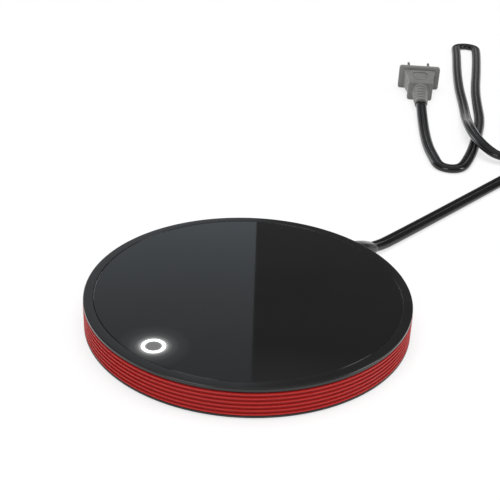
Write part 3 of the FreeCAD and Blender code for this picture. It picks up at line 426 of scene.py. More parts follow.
def noise_value(tree, scale, detail=3.0, stretch=EVEN):
    place = tree.nodes.new("ShaderNodeTexCoord")
    mapping = tree.nodes.new("ShaderNodeMapping")
    mapping.inputs["Scale"].default_value = stretch
    grain = tree.nodes.new("ShaderNodeTexNoise")
    grain.inputs["Scale"].default_value = scale
    grain.inputs["Detail"].default_value = detail
    tree.links.new(place.outputs["Object"], mapping.inputs["Vector"])
    tree.links.new(mapping.outputs["Vector"], grain.inputs["Vector"])
    return grain.outputs["Fac"]


def ramp(tree, value, stops):
    node = tree.nodes.new("ShaderNodeValToRGB")
    node.color_ramp.elements[0].position = stops[0][0]
    node.color_ramp.elements[0].color = (*stops[0][1], 1.0)
    node.color_ramp.elements[1].position = stops[-1][0]
    node.color_ramp.elements[1].color = (*stops[-1][1], 1.0)
    for place, colour in stops[1:-1]:
        element = node.color_ramp.elements.new(place)
        element.color = (*colour, 1.0)
    tree.links.new(value, node.inputs["Fac"])
    return node.outputs["Color"]


def map_range(tree, value, low, high, to_low, to_high):
    node = tree.nodes.new("ShaderNodeMapRange")
    node.inputs["From Min"].default_value = low
    node.inputs["From Max"].default_value = high
    node.inputs["To Min"].default_value = to_low
    node.inputs["To Max"].default_value = to_high
    tree.links.new(value, node.inputs["Value"])
    return node.outputs["Result"]


def add_bump(tree, shader, height, strength, distance):
    node = tree.nodes.new("ShaderNodeBump")
    node.inputs["Strength"].default_value = strength
    node.inputs["Distance"].default_value = distance
    tree.links.new(height, node.inputs["Height"])
    tree.links.new(node.outputs["Normal"], shader.inputs["Normal"])


def shade(colour, factor):
    return tuple(c * factor for c in colour)


def grey(value):
    return (value, value, value)


# Most of a noise lies between the first two. Bumps are depths in metres.
NOISE_LOW = 0.3
NOISE_HIGH = 0.7
FINE_DETAIL = 4.0
CLOUD_SCALE = 55.0
CLOUD_SPREAD = 0.15
GLOSS_SCALE = 130.0
PLASTIC_BUMP = 0.00006
METAL_GRAIN = 420.0
METAL_DARKER = 0.86
METAL_SMOOTHER = 0.07
METAL_ROUGHER = 0.09
METAL_MARKS = 0.1
MARKS_LOW = 0.25
MARKS_HIGH = 0.75
FINE_BUMP = 0.00004


def moulded(name, colour, rough=0.45, spread=0.06, grain=900.0, bump=0.12):
    """Moulded or extruded plastic and rubber: fine grain, faint clouding of colour and gloss."""
    material, tree, shader = node_material(name)
    dark = shade(colour, 1 - CLOUD_SPREAD)
    pale = shade(colour, 1 + CLOUD_SPREAD)
    tint = ramp(tree, noise_value(tree, CLOUD_SCALE), [(NOISE_LOW, dark), (NOISE_HIGH, pale)])
    patches = noise_value(tree, GLOSS_SCALE)
    gloss = map_range(tree, patches, NOISE_LOW, NOISE_HIGH, rough - spread, rough + spread)
    tree.links.new(tint, shader.inputs["Base Color"])
    tree.links.new(gloss, shader.inputs["Roughness"])
    add_bump(tree, shader, noise_value(tree, grain, FINE_DETAIL), bump, PLASTIC_BUMP)
    return material


def metal(name, colour, rough, stretch=EVEN):
    """Plated or rolled metal with fine directional marks."""
    material, tree, shader = node_material(name)
    shader.inputs["Metallic"].default_value = 1.0
    marks = noise_value(tree, METAL_GRAIN, FINE_DETAIL, stretch)
    tint = ramp(tree, marks, [(NOISE_LOW, shade(colour, METAL_DARKER)), (NOISE_HIGH, colour)])
    gloss = map_range(tree, marks, MARKS_LOW, MARKS_HIGH, rough - METAL_SMOOTHER, rough + METAL_ROUGHER)
    tree.links.new(tint, shader.inputs["Base Color"])
    tree.links.new(gloss, shader.inputs["Roughness"])
    add_bump(tree, shader, marks, METAL_MARKS, FINE_BUMP)
    return material


def distance_from(tree, x, y):
    """Distance in millimetres, level, from a place on the part."""
    place = tree.nodes.new("ShaderNodeTexCoord")
    split = tree.nodes.new("ShaderNodeSeparateXYZ")
    tree.links.new(place.outputs["Object"], split.inputs["Vector"])
    joined = tree.nodes.new("ShaderNodeCombineXYZ")
    tree.links.new(split.outputs["X"], joined.inputs["X"])
    tree.links.new(split.outputs["Y"], joined.inputs["Y"])
    shift = tree.nodes.new("ShaderNodeVectorMath")
    shift.operation = "DISTANCE"
    shift.inputs[1].default_value = (x * MM, y * MM, 0.0)
    tree.links.new(joined.outputs["Vector"], shift.inputs[0])
    scale = tree.nodes.new("ShaderNodeMath")
    scale.operation = "MULTIPLY"
    scale.inputs[1].default_value = 1.0 / MM
    tree.links.new(shift.outputs["Value"], scale.inputs[0])
    return scale.outputs["Value"]


GLASS_DARK = (0.0058, 0.0060, 0.0058)
GLASS_PALE = (0.0072, 0.0074, 0.0072)
GLASS_CLOUD_SCALE = 26.0
GLASS_SMEAR_SCALE = 70.0
GLASS_SMEAR_DETAIL = 5.0
GLASS_SMOOTHEST = 0.02
GLASS_ROUGHEST = 0.05
GLASS_IOR = 1.5
GLOW_BLUE_SHARE = 0.985
GLOW_REACH = 14.0
GLOW_STOPS = (
    # distance from the middle of the key, brightness of the painted glow in the glass
    (0.0, 0.165),
    (2.3, 0.17),
    (3.1, 0.34),
    (3.9, 0.60),
    (4.9, 0.36),
    (5.7, 0.13),
    (7.0, 0.045),
    (9.5, 0.012),
    (GLOW_REACH, 0.0),
)


def glass_material():
    """Black-backed polished glass, with a painted glow round the key that stands in for the soft halo the
    lit key throws inside it.
    """
    material, tree, shader = node_material("black_glass")
    tint = ramp(tree, noise_value(tree, GLASS_CLOUD_SCALE), [(0.35, GLASS_DARK), (0.65, GLASS_PALE)])
    smear = noise_value(tree, GLASS_SMEAR_SCALE, GLASS_SMEAR_DETAIL)
    gloss = map_range(tree, smear, 0.35, 0.75, GLASS_SMOOTHEST, GLASS_ROUGHEST)
    tree.links.new(tint, shader.inputs["Base Color"])
    tree.links.new(gloss, shader.inputs["Roughness"])
    shader.inputs["IOR"].default_value = GLASS_IOR
    # painted glow: emission in the glass itself, fading with distance from the key
    reach = map_range(tree, distance_from(tree, KEY_X, KEY_Y), 0.0, GLOW_REACH, 0.0, 1.0)
    stops = [(r / GLOW_REACH, (v, v, v * GLOW_BLUE_SHARE)) for r, v in GLOW_STOPS]
    tree.links.new(ramp(tree, reach, stops), shader.inputs["Emission Color"])
    shader.inputs["Emission Strength"].default_value = 1.0
    return material


KEY_GLOW = 1.25
KEY_ROUGH = 0.1
KEY_CLOUD_SCALE = 900.0
KEY_COOL = (0.96, 0.97, 0.97)


def lit_material():
    """The key's ring, lit from below through a clear window in the glass's black back."""
    material, tree, shader = node_material("key_ring_light")
    glow = ramp(tree, noise_value(tree, KEY_CLOUD_SCALE), [(NOISE_LOW, KEY_COOL), (NOISE_HIGH, grey(1.0))])
    tree.links.new(glow, shader.inputs["Emission Color"])
    shader.inputs["Base Color"].default_value = (*grey(0.9), 1.0)
    shader.inputs["Emission Strength"].default_value = KEY_GLOW
    shader.inputs["Roughness"].default_value = KEY_ROUGH
    return material


BAND_SHADE_HIGHLIGHT_STOPS = (
    # share of the way from a groove to a crest, colour, with painted shade in the grooves and a painted
    # highlight on the crests
    (0.0, (0.26, 0.004, 0.003)),
    (0.5, (0.34, 0.005, 0.004)),
    (0.88, (0.38, 0.008, 0.007)),
    (1.0, (0.46, 0.026, 0.022)),
)
BAND_WEAR_SCALE = 240.0
BAND_WEAR_STRETCH = (1.0, 1.0, 0.3)
BAND_SMOOTHEST = 0.36
BAND_ROUGHEST = 0.46
BAND_SPECULAR = 0.22
BAND_GRAIN = 1400.0
BAND_MARKS = 0.08


def band_material():
    """Satin red enamel, painted darker in the grooves as shade and brighter on the crests of the ribs as a
    highlight.
    """
    material, tree, shader = node_material("red_enamel")
    radius = distance_from(tree, 0.0, 0.0)
    height = map_range(tree, radius, CASE_R - RIB_PROUD, CASE_R, 0.0, 1.0)
    wear = noise_value(tree, BAND_WEAR_SCALE, FINE_DETAIL, BAND_WEAR_STRETCH)
    gloss = map_range(tree, wear, NOISE_LOW, NOISE_HIGH, BAND_SMOOTHEST, BAND_ROUGHEST)
    # base colour by the share from groove to crest: painted shade in the grooves, painted highlight on the
    # crests
    tree.links.new(ramp(tree, height, BAND_SHADE_HIGHLIGHT_STOPS), shader.inputs["Base Color"])
    tree.links.new(gloss, shader.inputs["Roughness"])
    shader.inputs["Specular IOR Level"].default_value = BAND_SPECULAR
    add_bump(tree, shader, noise_value(tree, BAND_GRAIN), BAND_MARKS, FINE_BUMP)
    return material


MATERIALS = {}


def make_materials():
    m = MATERIALS
    m["case_black"] = moulded("case_plastic", grey(0.010), rough=0.42)
    m["band_red"] = band_material()
    m["bezel_black"] = moulded("bezel_plastic", grey(0.009), rough=0.16, spread=0.03, grain=700.0, bump=0.05)
    m["top_glass"] = glass_material()
    m["tape"] = moulded("seal_tape", grey(0.02), rough=0.7)
    m["foot_rubber"] = moulded("foot_rubber", grey(0.028), rough=0.75, spread=0.05, grain=1500.0, bump=0.3)
    m["screw_steel"] = metal("screw_steel", (0.56, 0.56, 0.57), rough=0.3)
    m["board_green"] = moulded("board_lacquer", (0.015, 0.12, 0.05), rough=0.3)
    m["light_ring"] = lit_material()
    m["shroud_black"] = moulded("shroud_plastic", grey(0.01), rough=0.6)
    m["touch_foam"] = moulded("touch_foam", grey(0.08), rough=0.85, spread=0.05, grain=2200.0, bump=0.5)
    m["led_white"] = moulded("led_case", (0.8, 0.8, 0.7), rough=0.4)
    m["plate_aluminium"] = metal("plate_aluminium", (0.78, 0.78, 0.79), rough=0.34, stretch=(1.0, 8.0, 1.0))
    m["heater_film"] = moulded("heater_film", (0.32, 0.13, 0.03), rough=0.3)
    felt = (0.76, 0.76, 0.72)
    m["insulation"] = moulded("insulation_felt", felt, rough=0.9, spread=0.05, grain=1600.0, bump=0.9)
    m["shield_steel"] = metal("shield_steel", grey(0.6), rough=0.33, stretch=(8.0, 1.0, 1.0))
    m["sensor_bead"] = moulded("sensor_bead", (0.6, 0.36, 0.22), rough=0.15)
    m["cutoff_case"] = metal("cutoff_case", (0.62, 0.5, 0.3), rough=0.3)
    m["terminal_green"] = moulded("terminal_plastic", (0.04, 0.28, 0.1))
    m["fuse_ceramic"] = moulded("fuse_ceramic", (0.7, 0.68, 0.6), rough=0.35)
    m["cap_yellow"] = moulded("capacitor_case", (0.68, 0.42, 0.03), rough=0.35)
    m["cap_sleeve"] = moulded("capacitor_sleeve", (0.02, 0.02, 0.05), rough=0.3)
    m["chip_black"] = moulded("chip_epoxy", grey(0.018), rough=0.55)
    m["terminal_brass"] = metal("terminal_brass", (0.72, 0.56, 0.27), rough=0.3)
    m["socket_white"] = moulded("socket_plastic", (0.78, 0.78, 0.72), rough=0.4)
    m["core_brown"] = moulded("core_sleeve", (0.11, 0.035, 0.018))
    m["wire_white"] = moulded("wire_white", grey(0.72))
    m["wire_red"] = moulded("wire_red", (0.45, 0.025, 0.018), rough=0.5)
    m["wire_grey"] = moulded("wire_grey", grey(0.28))
    m["cord_pvc"] = moulded("cord_sheath", grey(0.004), rough=0.20, spread=0.03, grain=500.0, bump=0.02)
    m["plug_pvc"] = moulded("plug_sheath", (0.16, 0.16, 0.157), rough=0.34, spread=0.05, grain=1300.0)
    m["insert_black"] = moulded("insert_plastic", grey(0.02), rough=0.5)
    m["blade_metal"] = metal("blade_metal", (0.55, 0.54, 0.52), rough=0.26, stretch=(1.0, 6.0, 1.0))


def dress_cad_nodes():
    """Every carried-over piece gets the finish of its slot."""
    for part in frame["record"]["subparts"]:
        node = frame["nodes"][part["node"]]
        node.data.materials.clear()
        node.data.materials.append(MATERIALS[part["material_slot"]])
        node.data.shade_smooth()
        node.data.set_sharp_from_angle(angle=math.radians(CAD_SMOOTH))


# Case

def rib_profile():
    """Outline of the band, flat inside and with rounded ribs outside."""
    root_r = CASE_R - RIB_PROUD
    middle = (BAND_LOW + BAND_HIGH) / 2
    pitch = (BAND_HIGH - BAND_LOW - RIB_ROOT_W - 2 * RIB_MARGIN) / (RIB_COUNT - 1)
    points = [(CASE_R - BAND_T, BAND_HIGH), (CASE_R - BAND_T, BAND_LOW), (root_r, BAND_LOW)]
    radii = [0.0, 0.0, 0.0]
    for i in range(RIB_COUNT):
        centre = middle + (i - (RIB_COUNT - 1) / 2) * pitch
        points += [
            (root_r, centre - RIB_ROOT_W / 2),
            (CASE_R, centre - RIB_CREST_W / 2),
            (CASE_R, centre + RIB_CREST_W / 2),
            (root_r, centre + RIB_ROOT_W / 2),
        ]
        radii += [RIB_ROOT_ROUND, RIB_CREST_ROUND, RIB_CREST_ROUND, RIB_ROOT_ROUND]
    points.append((root_r, BAND_HIGH))
    radii.append(0.0)
    return rounded(points, radii)


def make_band():
    """Red ribbed band, cut open where the lead leaves."""
    band = lathe("ribbed_band", rib_profile(), smooth_angle=ROUND_SMOOTH)
    rings = []
    for radius in (CASE_R - EXIT_CUT_IN, CASE_R + EXIT_CUT_OUT):
        rings.append([
            polar(radius, EXIT_ANGLE, EXIT_Z + up) + polar(across, EXIT_ANGLE + 90)
            for across, up in box_ring(EXIT_W, EXIT_H, EXIT_CORNER)
        ])
    cut_with(band, loft("exit_cut", rings))
    tidy_mesh(band, ROUND_SMOOTH)
    dress(band, MATERIALS["band_red"])
    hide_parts("trim_band")


def make_bezel():
    """Black ring round the glass, with a shadow gap over the band."""
    points = [
        (EDGE_R, TOP_Z),
        (EDGE_R, EDGE_LOW),
        (EDGE_R - EDGE_OVERHANG, EDGE_LOW),
        (EDGE_R - EDGE_OVERHANG, BAND_HIGH),
        (SKIRT_R, BAND_HIGH),
        (SKIRT_R, SKIRT_LOW),
        (LEDGE_R, SKIRT_LOW),
        (LEDGE_R, LEDGE_Z),
        (RECESS_R, LEDGE_Z),
        (RECESS_R, TOP_Z),
    ]
    hidden = [0.0] * (len(points) - 4)
    radii = [EDGE_TOP_ROUND, EDGE_LOW_ROUND, GAP_ROUND] + hidden + [RECESS_ROUND]
    ring = lathe("glass_bezel", rounded(points, radii, EDGE_STEPS), smooth_angle=ROUND_SMOOTH)
    dress(ring, MATERIALS["bezel_black"])
    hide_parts("top_bezel")


def make_glass():
    """Glass disc with a softened edge, level with the bezel."""
    points = [(0.0, GLASS_LOW), (GLASS_R, GLASS_LOW), (GLASS_R, TOP_Z), (0.0, TOP_Z)]
    outline = rounded(points, [0.0, GLASS_LOW_ROUND, GLASS_TOP_ROUND, 0.0], EDGE_STEPS)
    glass = lathe("glass_disc", outline, smooth_angle=ROUND_SMOOTH)
    dress(glass, MATERIALS["top_glass"])
    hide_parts("glass_top")


def make_key_mark():
    """Lit ring of the touch key, a hair proud of the glass."""
    high = TOP_Z + KEY_MARK_PROUD
    low = TOP_Z - KEY_MARK_DEPTH
    points = [(KEY_MARK_IN_R, high), (KEY_MARK_IN_R, low), (KEY_MARK_OUT_R, low), (KEY_MARK_OUT_R, high)]
    mark = lathe("key_mark", points, KEY_MARK_STEPS)
    mark.data.transform(Matrix.Translation(Vector((KEY_X, KEY_Y, 0.0)) * MM))
    dress(mark, MATERIALS["light_ring"])


# Strain relief

RELIEF_STEPS = 7
RELIEF_SECTIONS = (
    # distance past the case's side, drop below the exit, fall in degrees, width, height, corner
    (-7.1, 0.0, 0.0, 10.0, 6.4, 2.2),
    (-5.4, 0.0, 0.0, 10.0, 6.4, 2.2),
    (-5.3, 0.0, 0.0, 7.2, 5.0, 2.0),
    (0.2, 0.0, 0.0, 7.2, 5.0, 2.0),
    (0.3, 0.0, 0.0, 8.9, 7.2, 3.2),
    (0.6, 0.05, 0.5, 9.5, 7.7, 3.4),
    (2.0, 0.1, 2.0, 9.6, 7.8, 3.5),
    (4.0, 0.25, 4.5, 9.4, 7.5, 3.5),
    (6.0, 0.55, 7.5, 9.1, 7.1, 3.4),
    (8.8, 1.1, 11.0, 8.6, 6.3, 3.0),
    (11.5, 1.75, 13.0, 8.0, 5.6, 2.7),
    (13.6, 2.35, 13.0, 7.5, 5.0, 2.4),
    (15.3, 2.84, 12.0, 7.1, 4.5, 2.15),
    (15.7, 2.94, 11.5, 6.7, 4.15, 2.0),
)


def make_strain_relief():
    """Rounded sleeve that tapers and falls from the case's side to the surface."""
    rings = []
    across = polar(1.0, EXIT_ANGLE - 90)
    for past, drop, fall, wide, tall, corner in RELIEF_SECTIONS:
        slope = math.radians(fall)
        top = across.cross(polar(math.cos(slope), EXIT_ANGLE, -math.sin(slope)))
        centre = polar(CASE_R + past, EXIT_ANGLE, EXIT_Z - drop)
        rings.append([centre + across * a + top * u for a, u in box_ring(wide, tall, corner, RELIEF_STEPS)])
    boot = loft("strain_relief_boot", rings, BOOT_SMOOTH)
    dress(boot, MATERIALS["cord_pvc"])
    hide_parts("strain_relief")
    return boot


# Lead

def coil_point(turned_by):
    """Middle of the lead after a turn of so many degrees from the start of the coil."""
    climb_start = COIL_SWEEP / 2 - COIL_CLIMB / 2
    climb = max(0.0, min(1.0, (turned_by - climb_start) / COIL_CLIMB))
    from_end = min(turned_by, COIL_SWEEP - turned_by)
    radius = COIL_R - COIL_PITCH * from_end / 360 - COIL_TUCK * math.sin(math.pi * climb) ** 2
    z = CORD_Z + COIL_LAYER * climb * climb * (3 - 2 * climb)
    return Vector((COIL_X, COIL_Y, z)) + polar(radius, COIL_START - turned_by)


def plug_tilt():
    """The plug lies on the lower edges of its flange and of its collar."""
    return math.atan((PLUG_FLANGE_H - PLUG_COLLAR_H) / 2 / (PLUG_BODY_LEN + PLUG_COLLAR_T))


def plug_direction():
    return polar(math.cos(plug_tilt()), PLUG_HEADING, math.sin(plug_tilt()))


def plug_origin():
    """Middle of the plug's front face."""
    length = PLUG_FLANGE_T + PLUG_BODY_LEN + PLUG_COLLAR_T + PLUG_NECK_LEN
    ahead = plug_direction() * length
    z = PLUG_FLANGE_H / 2 * math.cos(plug_tilt()) + PLUG_FLANGE_T * math.sin(plug_tilt())
    return Vector((PLUG_NECK_X + ahead.x, PLUG_NECK_Y + ahead.y, z)), length


def lead_points():
    """Control points of the whole lead, from the strain relief to the plug."""
    points = [Vector(p) for p in LEAD_ROUTE]
    start_ahead = polar(1.0, COIL_START - 90)
    end_ahead = polar(1.0, COIL_START - COIL_SWEEP - 90)
    points.append(coil_point(0.0) - start_ahead * COIL_TAIL)
    for i in range(COIL_STEPS + 1):
        points.append(coil_point(COIL_SWEEP * i / COIL_STEPS))
    out = coil_point(COIL_SWEEP) + end_ahead * COIL_TAIL
    points += [out, out + end_ahead * COIL_LEAVE_RUN]
    points += [Vector(p) for p in TAIL_ROUTE]
    origin, length = plug_origin()
    neck_end = origin - plug_direction() * length
    points += [neck_end - plug_direction() * PLUG_END_RUN, neck_end + plug_direction() * LEAD_IN_PLUG]
    return points


def smooth_path(points):
    """Points read along one smooth spline that has these as its control points."""
    data = bpy.data.curves.new("lead_route", "CURVE")
    data.dimensions = "3D"
    data.resolution_u = SPLINE_STEPS
    spline = data.splines.new("NURBS")
    spline.points.add(len(points) - 1)
    for spot, point in zip(spline.points, points):
        spot.co = (*(point * MM), 1.0)
    spline.order_u = 3
    spline.use_endpoint_u = True
    curve = bpy.data.objects.new("lead_route", data)
    bpy.context.scene.collection.objects.link(curve)
    bpy.context.view_layer.update()
    read = bpy.data.meshes.new_from_object(curve)
    path = [v.co.copy() for v in read.vertices]
    bpy.data.meshes.remove(read)
    bpy.data.objects.remove(curve)
    return path


def twin_section():
    """Two rounded cores side by side with a shallow groove between them, above and below."""
    core_r = CORD_T / 2
    centre = CORD_W / 2 - core_r
    points = []
    for side, start in ((1, -CORE_REACH), (-1, 180.0 - CORE_REACH)):
        for i in range(CORE_STEPS * 2 + 1):
            turn = math.radians(start + CORE_REACH * i / CORE_STEPS)
            points.append((side * centre + core_r * math.cos(turn), core_r * math.sin(turn)))
        points.append((0.0, points[-1][1] * GROOVE_SHARE))
    return points


def sweep_level(name, path, section):
    """Tube along a path with its wide side level."""
    rings = []
    count = len(path)
    for i, spot in enumerate(path):
        ahead = (path[min(i + 1, count - 1)] - path[max(i - 1, 0)]).normalized()
        across = ahead.cross(Vector((0, 0, 1))).normalized()
        top = across.cross(ahead)
        rings.append([spot / MM + across * a + top * u for a, u in section])
    return loft(name, rings, LEAD_SMOOTH)


def make_lead(on_it):
    """The whole lead in one piece; the pieces passed in as on_it are not used."""
    path = smooth_path(lead_points())
    lead = sweep_level("mains_lead", path, twin_section())
    dress(lead, MATERIALS["cord_pvc"])
    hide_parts("cord_lead", "cord_coil", "cord_tail")
    length = sum((b - a).length for a, b in zip(path, path[1:]))
    print("lead length", round(length, 4))


# Plug

def plug_matrix():
    """From the plug's own axes to its place on the surface."""
    turn = Matrix.Rotation(math.radians(PLUG_HEADING), 4, "Z") @ Matrix.Rotation(-plug_tilt(), 4, "Y")
    return Matrix.Translation(plug_origin()[0] * MM) @ turn


def plug_ring(x, wide, tall, corner):
    return [Vector((x, across, up)) for across, up in box_ring(wide, tall, corner, PLUG_CORNER_STEPS)]


def fade(past, edge):
    """0 before an edge, 1 beyond it, and a slope across it."""
    return min(1.0, max(0.0, past / edge))


def neck_ring(x, along, count):
    """Round section of the neck, cut by slots on its four sides, staggered from side to side."""
    base = PLUG_NECK_D + (PLUG_NECK_END_D - PLUG_NECK_D) * along
    slotted = fade(min(along - NECK_PLAIN_FRONT, NECK_PLAIN_END - along), NECK_PLAIN_EDGE)
    quarter = math.pi / 2
    ring = []
    for i in range(count):
        turn = 2 * math.pi * (i + 0.5) / count
        side = int((turn + quarter / 2) // quarter)
        within = (turn + quarter / 2) % quarter / quarter
        web = fade(abs(within - 0.5) - NECK_WEB_START, NECK_WEB_EDGE)
        phase = (along * NECK_PITCHES + (0.5 if side % 2 else 0.0)) % 1.0
        slot = fade(NECK_SLOT_HALF - abs(phase - 0.5), NECK_SLOT_EDGE)
        radius = base / 2 - NECK_SLOT_DEPTH * slot * (1.0 - web) * slotted
        ring.append(Vector((x, radius * math.cos(turn), radius * math.sin(turn))))
    return ring


SOFT_EDGE = (
    # share of the edge that is passed, share by which the sides are still drawn in
    (0.0, 1.0),
    (0.3, 0.3),
    (1.0, 0.0),
)


def block(start_x, end_x, start, end, corner, edge):
    """Rings of a tapering block, (width, height) at either end, with softened edges."""
    rings = []
    for along, inward in SOFT_EDGE:
        less = 2 * edge * inward
        rings.append(plug_ring(start_x - edge * along, start[0] - less, start[1] - less, corner))
    for along, inward in reversed(SOFT_EDGE):
        less = 2 * edge * inward
        rings.append(plug_ring(end_x + edge * along, end[0] - less, end[1] - less, corner))
    return rings


def seam(start_x, end_x, size, depth):
    """Rings of a shallow groove round the plug."""
    wide = size[0] - 2 * depth
    tall = size[1] - 2 * depth
    return [plug_ring(x, wide, tall, SEAM_CORNER) for x in (start_x, end_x)]


def plug_sections():
    """Rings from the plug's front face to the end of its neck."""
    body_x = -PLUG_FLANGE_T
    collar_x = body_x - PLUG_BODY_LEN
    neck_x = collar_x - PLUG_COLLAR_T
    flange = (PLUG_FLANGE_W, PLUG_FLANGE_H)
    body = (PLUG_BODY_W, PLUG_BODY_H)
    body_end = (PLUG_BODY_END_W, PLUG_BODY_END_H)
    collar = (PLUG_COLLAR_W, PLUG_COLLAR_H)
    rings = block(0.0, body_x, flange, flange, FLANGE_CORNER, FLANGE_EDGE)
    rings += seam(body_x, body_x - SEAM_W, body, FRONT_SEAM_DEPTH)
    rings += block(body_x - SEAM_W, collar_x + SEAM_W, body, body_end, BODY_CORNER, BODY_EDGE)
    rings += seam(collar_x + SEAM_W, collar_x, body_end, BACK_SEAM_DEPTH)
    rings += block(collar_x, neck_x, collar, collar, COLLAR_CORNER, COLLAR_EDGE)
    count = len(rings[0])
    for i in range(NECK_STEPS + 1):
        along = i / NECK_STEPS
        rings.append(neck_ring(neck_x - along * PLUG_NECK_LEN, along, count))
    end = neck_x - PLUG_NECK_LEN - NECK_END_ROUND
    rings.append([Vector((end, p.y * NECK_END_SHARE, p.z * NECK_END_SHARE)) for p in rings[-1]])
    return rings


GRIP_MIDDLE = -PLUG_FLANGE_T - PLUG_BODY_LEN / 2
GRIP_FRONT = 5.0
GRIP_HALF_W = 4.3
GRIP_ROUND = 1.1
GRIP_STEPS = 5
GRIP_DEPTH = 0.5
GRIP_CUT_PAST = 1.0
GRIP_SHAPE = (
    (GRIP_FRONT, -3.4),
    (GRIP_FRONT, 3.4),
    (3.6, GRIP_HALF_W),
    (-2.2, 3.7),
    (-5.2, 1.8),
    (-5.2, -1.8),
    (-2.2, -3.7),
    (3.6, -GRIP_HALF_W),
)
RIM_IN = 0.25
RIM_SECTION = (
    # distance past the grip's outline, height over the body's face
    (RIM_IN, -0.3),
    (0.3, 0.22),
    (0.55, 0.3),
    (0.8, 0.22),
    (0.85, -0.3),
)


def grip_loop(grow):
    """Shield-shaped outline of the grip, seen from above and grown all round."""
    long = 1 + grow / GRIP_FRONT
    wide = 1 + grow / GRIP_HALF_W
    points = [(x * long, y * wide) for x, y in GRIP_SHAPE]
    outline = rounded(points, [GRIP_ROUND] * len(points), GRIP_STEPS)
    return [Vector((GRIP_MIDDLE + x, y, 0.0)) for x, y in outline]


def face_height(x):
    """Half height of the tapering body at a place along it."""
    share = (-PLUG_FLANGE_T - x) / PLUG_BODY_LEN
    return (PLUG_BODY_H + (PLUG_BODY_END_H - PLUG_BODY_H) * share) / 2


def on_face(point, side, lift):
    """A point moved to the body's upper or under face, and off it."""
    return Vector((point.x, point.y, side * (face_height(point.x) + lift)))


def make_grip(side, material):
    """Raised rim round the grip and the studded pad inside it."""
    rings = []
    for grow, lift in RIM_SECTION:
        rings.append([on_face(p, side, lift) for p in grip_loop(grow)])
    verts = [p for ring in rings for p in ring]
    faces = skin(len(rings), len(rings[0]), closed=True)
    rim = mesh_piece("grip_rim_top" if side > 0 else "grip_rim_under", verts, faces, RIM_SMOOTH)
    pad = studded_pad("grip_pad_top" if side > 0 else "grip_pad_under", side)
    for piece in (rim, pad):
        piece.data.transform(plug_matrix())
        dress(piece, material)
    return [rim, pad]


def inside_loop(x, y, loop):
    """Whether a place lies within an outline."""
    hit = False
    for a, b in zip(loop, loop[1:] + loop[:1]):
        if (a.y > y) != (b.y > y) and x < (b.x - a.x) * (y - a.y) / (b.y - a.y) + a.x:
            hit = not hit
    return hit


# Studded pad: half its sheet, the sheet's mesh, and the studs on it
PAD_GROW = 0.1
PAD_HALF_LEN = 5.7
PAD_HALF_W = 4.6
PAD_STEP = 0.16
PAD_DEPTH = 0.45
PAD_T = 0.2
STUD_PITCH = 1.15
STUD_ROW = STUD_PITCH * 0.87
STUD_R_SHARE = 0.4
STUD_H = 0.38


def stud_height(x, y):
    """Height of the studs at a place on the pad. Every other row is shifted by half a pitch."""
    row = round((y + PAD_HALF_W) / STUD_ROW)
    shift = STUD_PITCH / 2 if row % 2 else 0.0
    across = (x + shift) / STUD_PITCH - round((x + shift) / STUD_PITCH)
    along = (y + PAD_HALF_W) / STUD_ROW - row
    bulge = max(0.0, 1.0 - (across * across + along * along) / STUD_R_SHARE ** 2)
    return STUD_H * math.sqrt(bulge)


def studded_pad(name, side):
    """Sheet of small round studs at the bottom of the grip's recess."""
    loop = grip_loop(PAD_GROW)
    index = {}
    verts = []
    for i in range(int(2 * PAD_HALF_LEN / PAD_STEP) + 1):
        for j in range(int(2 * PAD_HALF_W / PAD_STEP) + 1):
            x = GRIP_MIDDLE - PAD_HALF_LEN + i * PAD_STEP
            y = j * PAD_STEP - PAD_HALF_W
            if inside_loop(x, y, loop):
                index[(i, j)] = len(verts)
                verts.append(on_face(Vector((x, y, 0.0)), side, stud_height(x, y) - PAD_DEPTH))
    faces = []
    for (i, j), a in index.items():
        corners = [index.get(k) for k in ((i + 1, j), (i + 1, j + 1), (i, j + 1))]
        if None not in corners:
            faces.append((a, *corners))
    pad = mesh_piece(name, verts, faces, PAD_SMOOTH)
    thick = pad.modifiers.new("thick", "SOLIDIFY")
    thick.thickness = PAD_T * MM
    thick.offset = -1.0 if side > 0 else 1.0
    apply_modifiers(pad)
    tidy_mesh(pad, PAD_SMOOTH)
    return pad


def make_plug_body(material):
    """Moulded body with a recess for the grip on both faces and the insert's opening in front."""
    body = loft("plug_shell", plug_sections(), PLUG_SMOOTH)
    for side in (1, -1):
        low = [on_face(p, side, -GRIP_DEPTH) for p in grip_loop(RIM_IN)]
        high = [on_face(p, side, GRIP_CUT_PAST) for p in grip_loop(RIM_IN)]
        cut_with(body, loft("grip_cut", [low, high]))
    opening = box_ring(INSERT_W, INSERT_H, INSERT_CORNER)
    rings = []
    for x in (-INSERT_LEN, INSERT_CUT_PAST):
        rings.append([Vector((x, across, up)) for across, up in opening])
    cut_with(body, loft("insert_cut", rings))
    tidy_mesh(body, PLUG_SMOOTH)
    body.data.transform(plug_matrix())
    dress(body, material)
    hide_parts("plug_body")
    return body


def make_blade(name, side):
    """Flat plated pin with a rounded tip and softened edges."""
    half = BLADE_W / 2
    tip = half * BLADE_TIP_SHARE
    straight = BLADE_LEN - tip
    outline = []
    for i in range(BLADE_TIP_STEPS + 1):
        turn = math.pi / 2 - math.pi * i / BLADE_TIP_STEPS
        outline.append((straight + tip * math.cos(turn), half * math.sin(turn)))
    outline += [(-BLADE_ROOT, -half), (-BLADE_ROOT, half)]
    edge = BLADE_EDGE / BLADE_T
    layers = [(edge * along - 0.5, BLADE_EDGE * inward) for along, inward in SOFT_EDGE]
    layers += [(-across, shrink) for across, shrink in reversed(layers)]
    middle = side * BLADE_SPACING / 2
    rings = []
    for across, shrink in layers:
        scale = 1 - shrink / half
        ring = []
        for x, z in outline:
            ahead = straight + (x - straight) * scale if x > straight else x
            ring.append(Vector((ahead, middle + across * BLADE_T, z * scale)))
        rings.append(ring)
    blade = loft(name, rings, BLADE_SMOOTH)
    blade.data.transform(plug_matrix())
    return blade


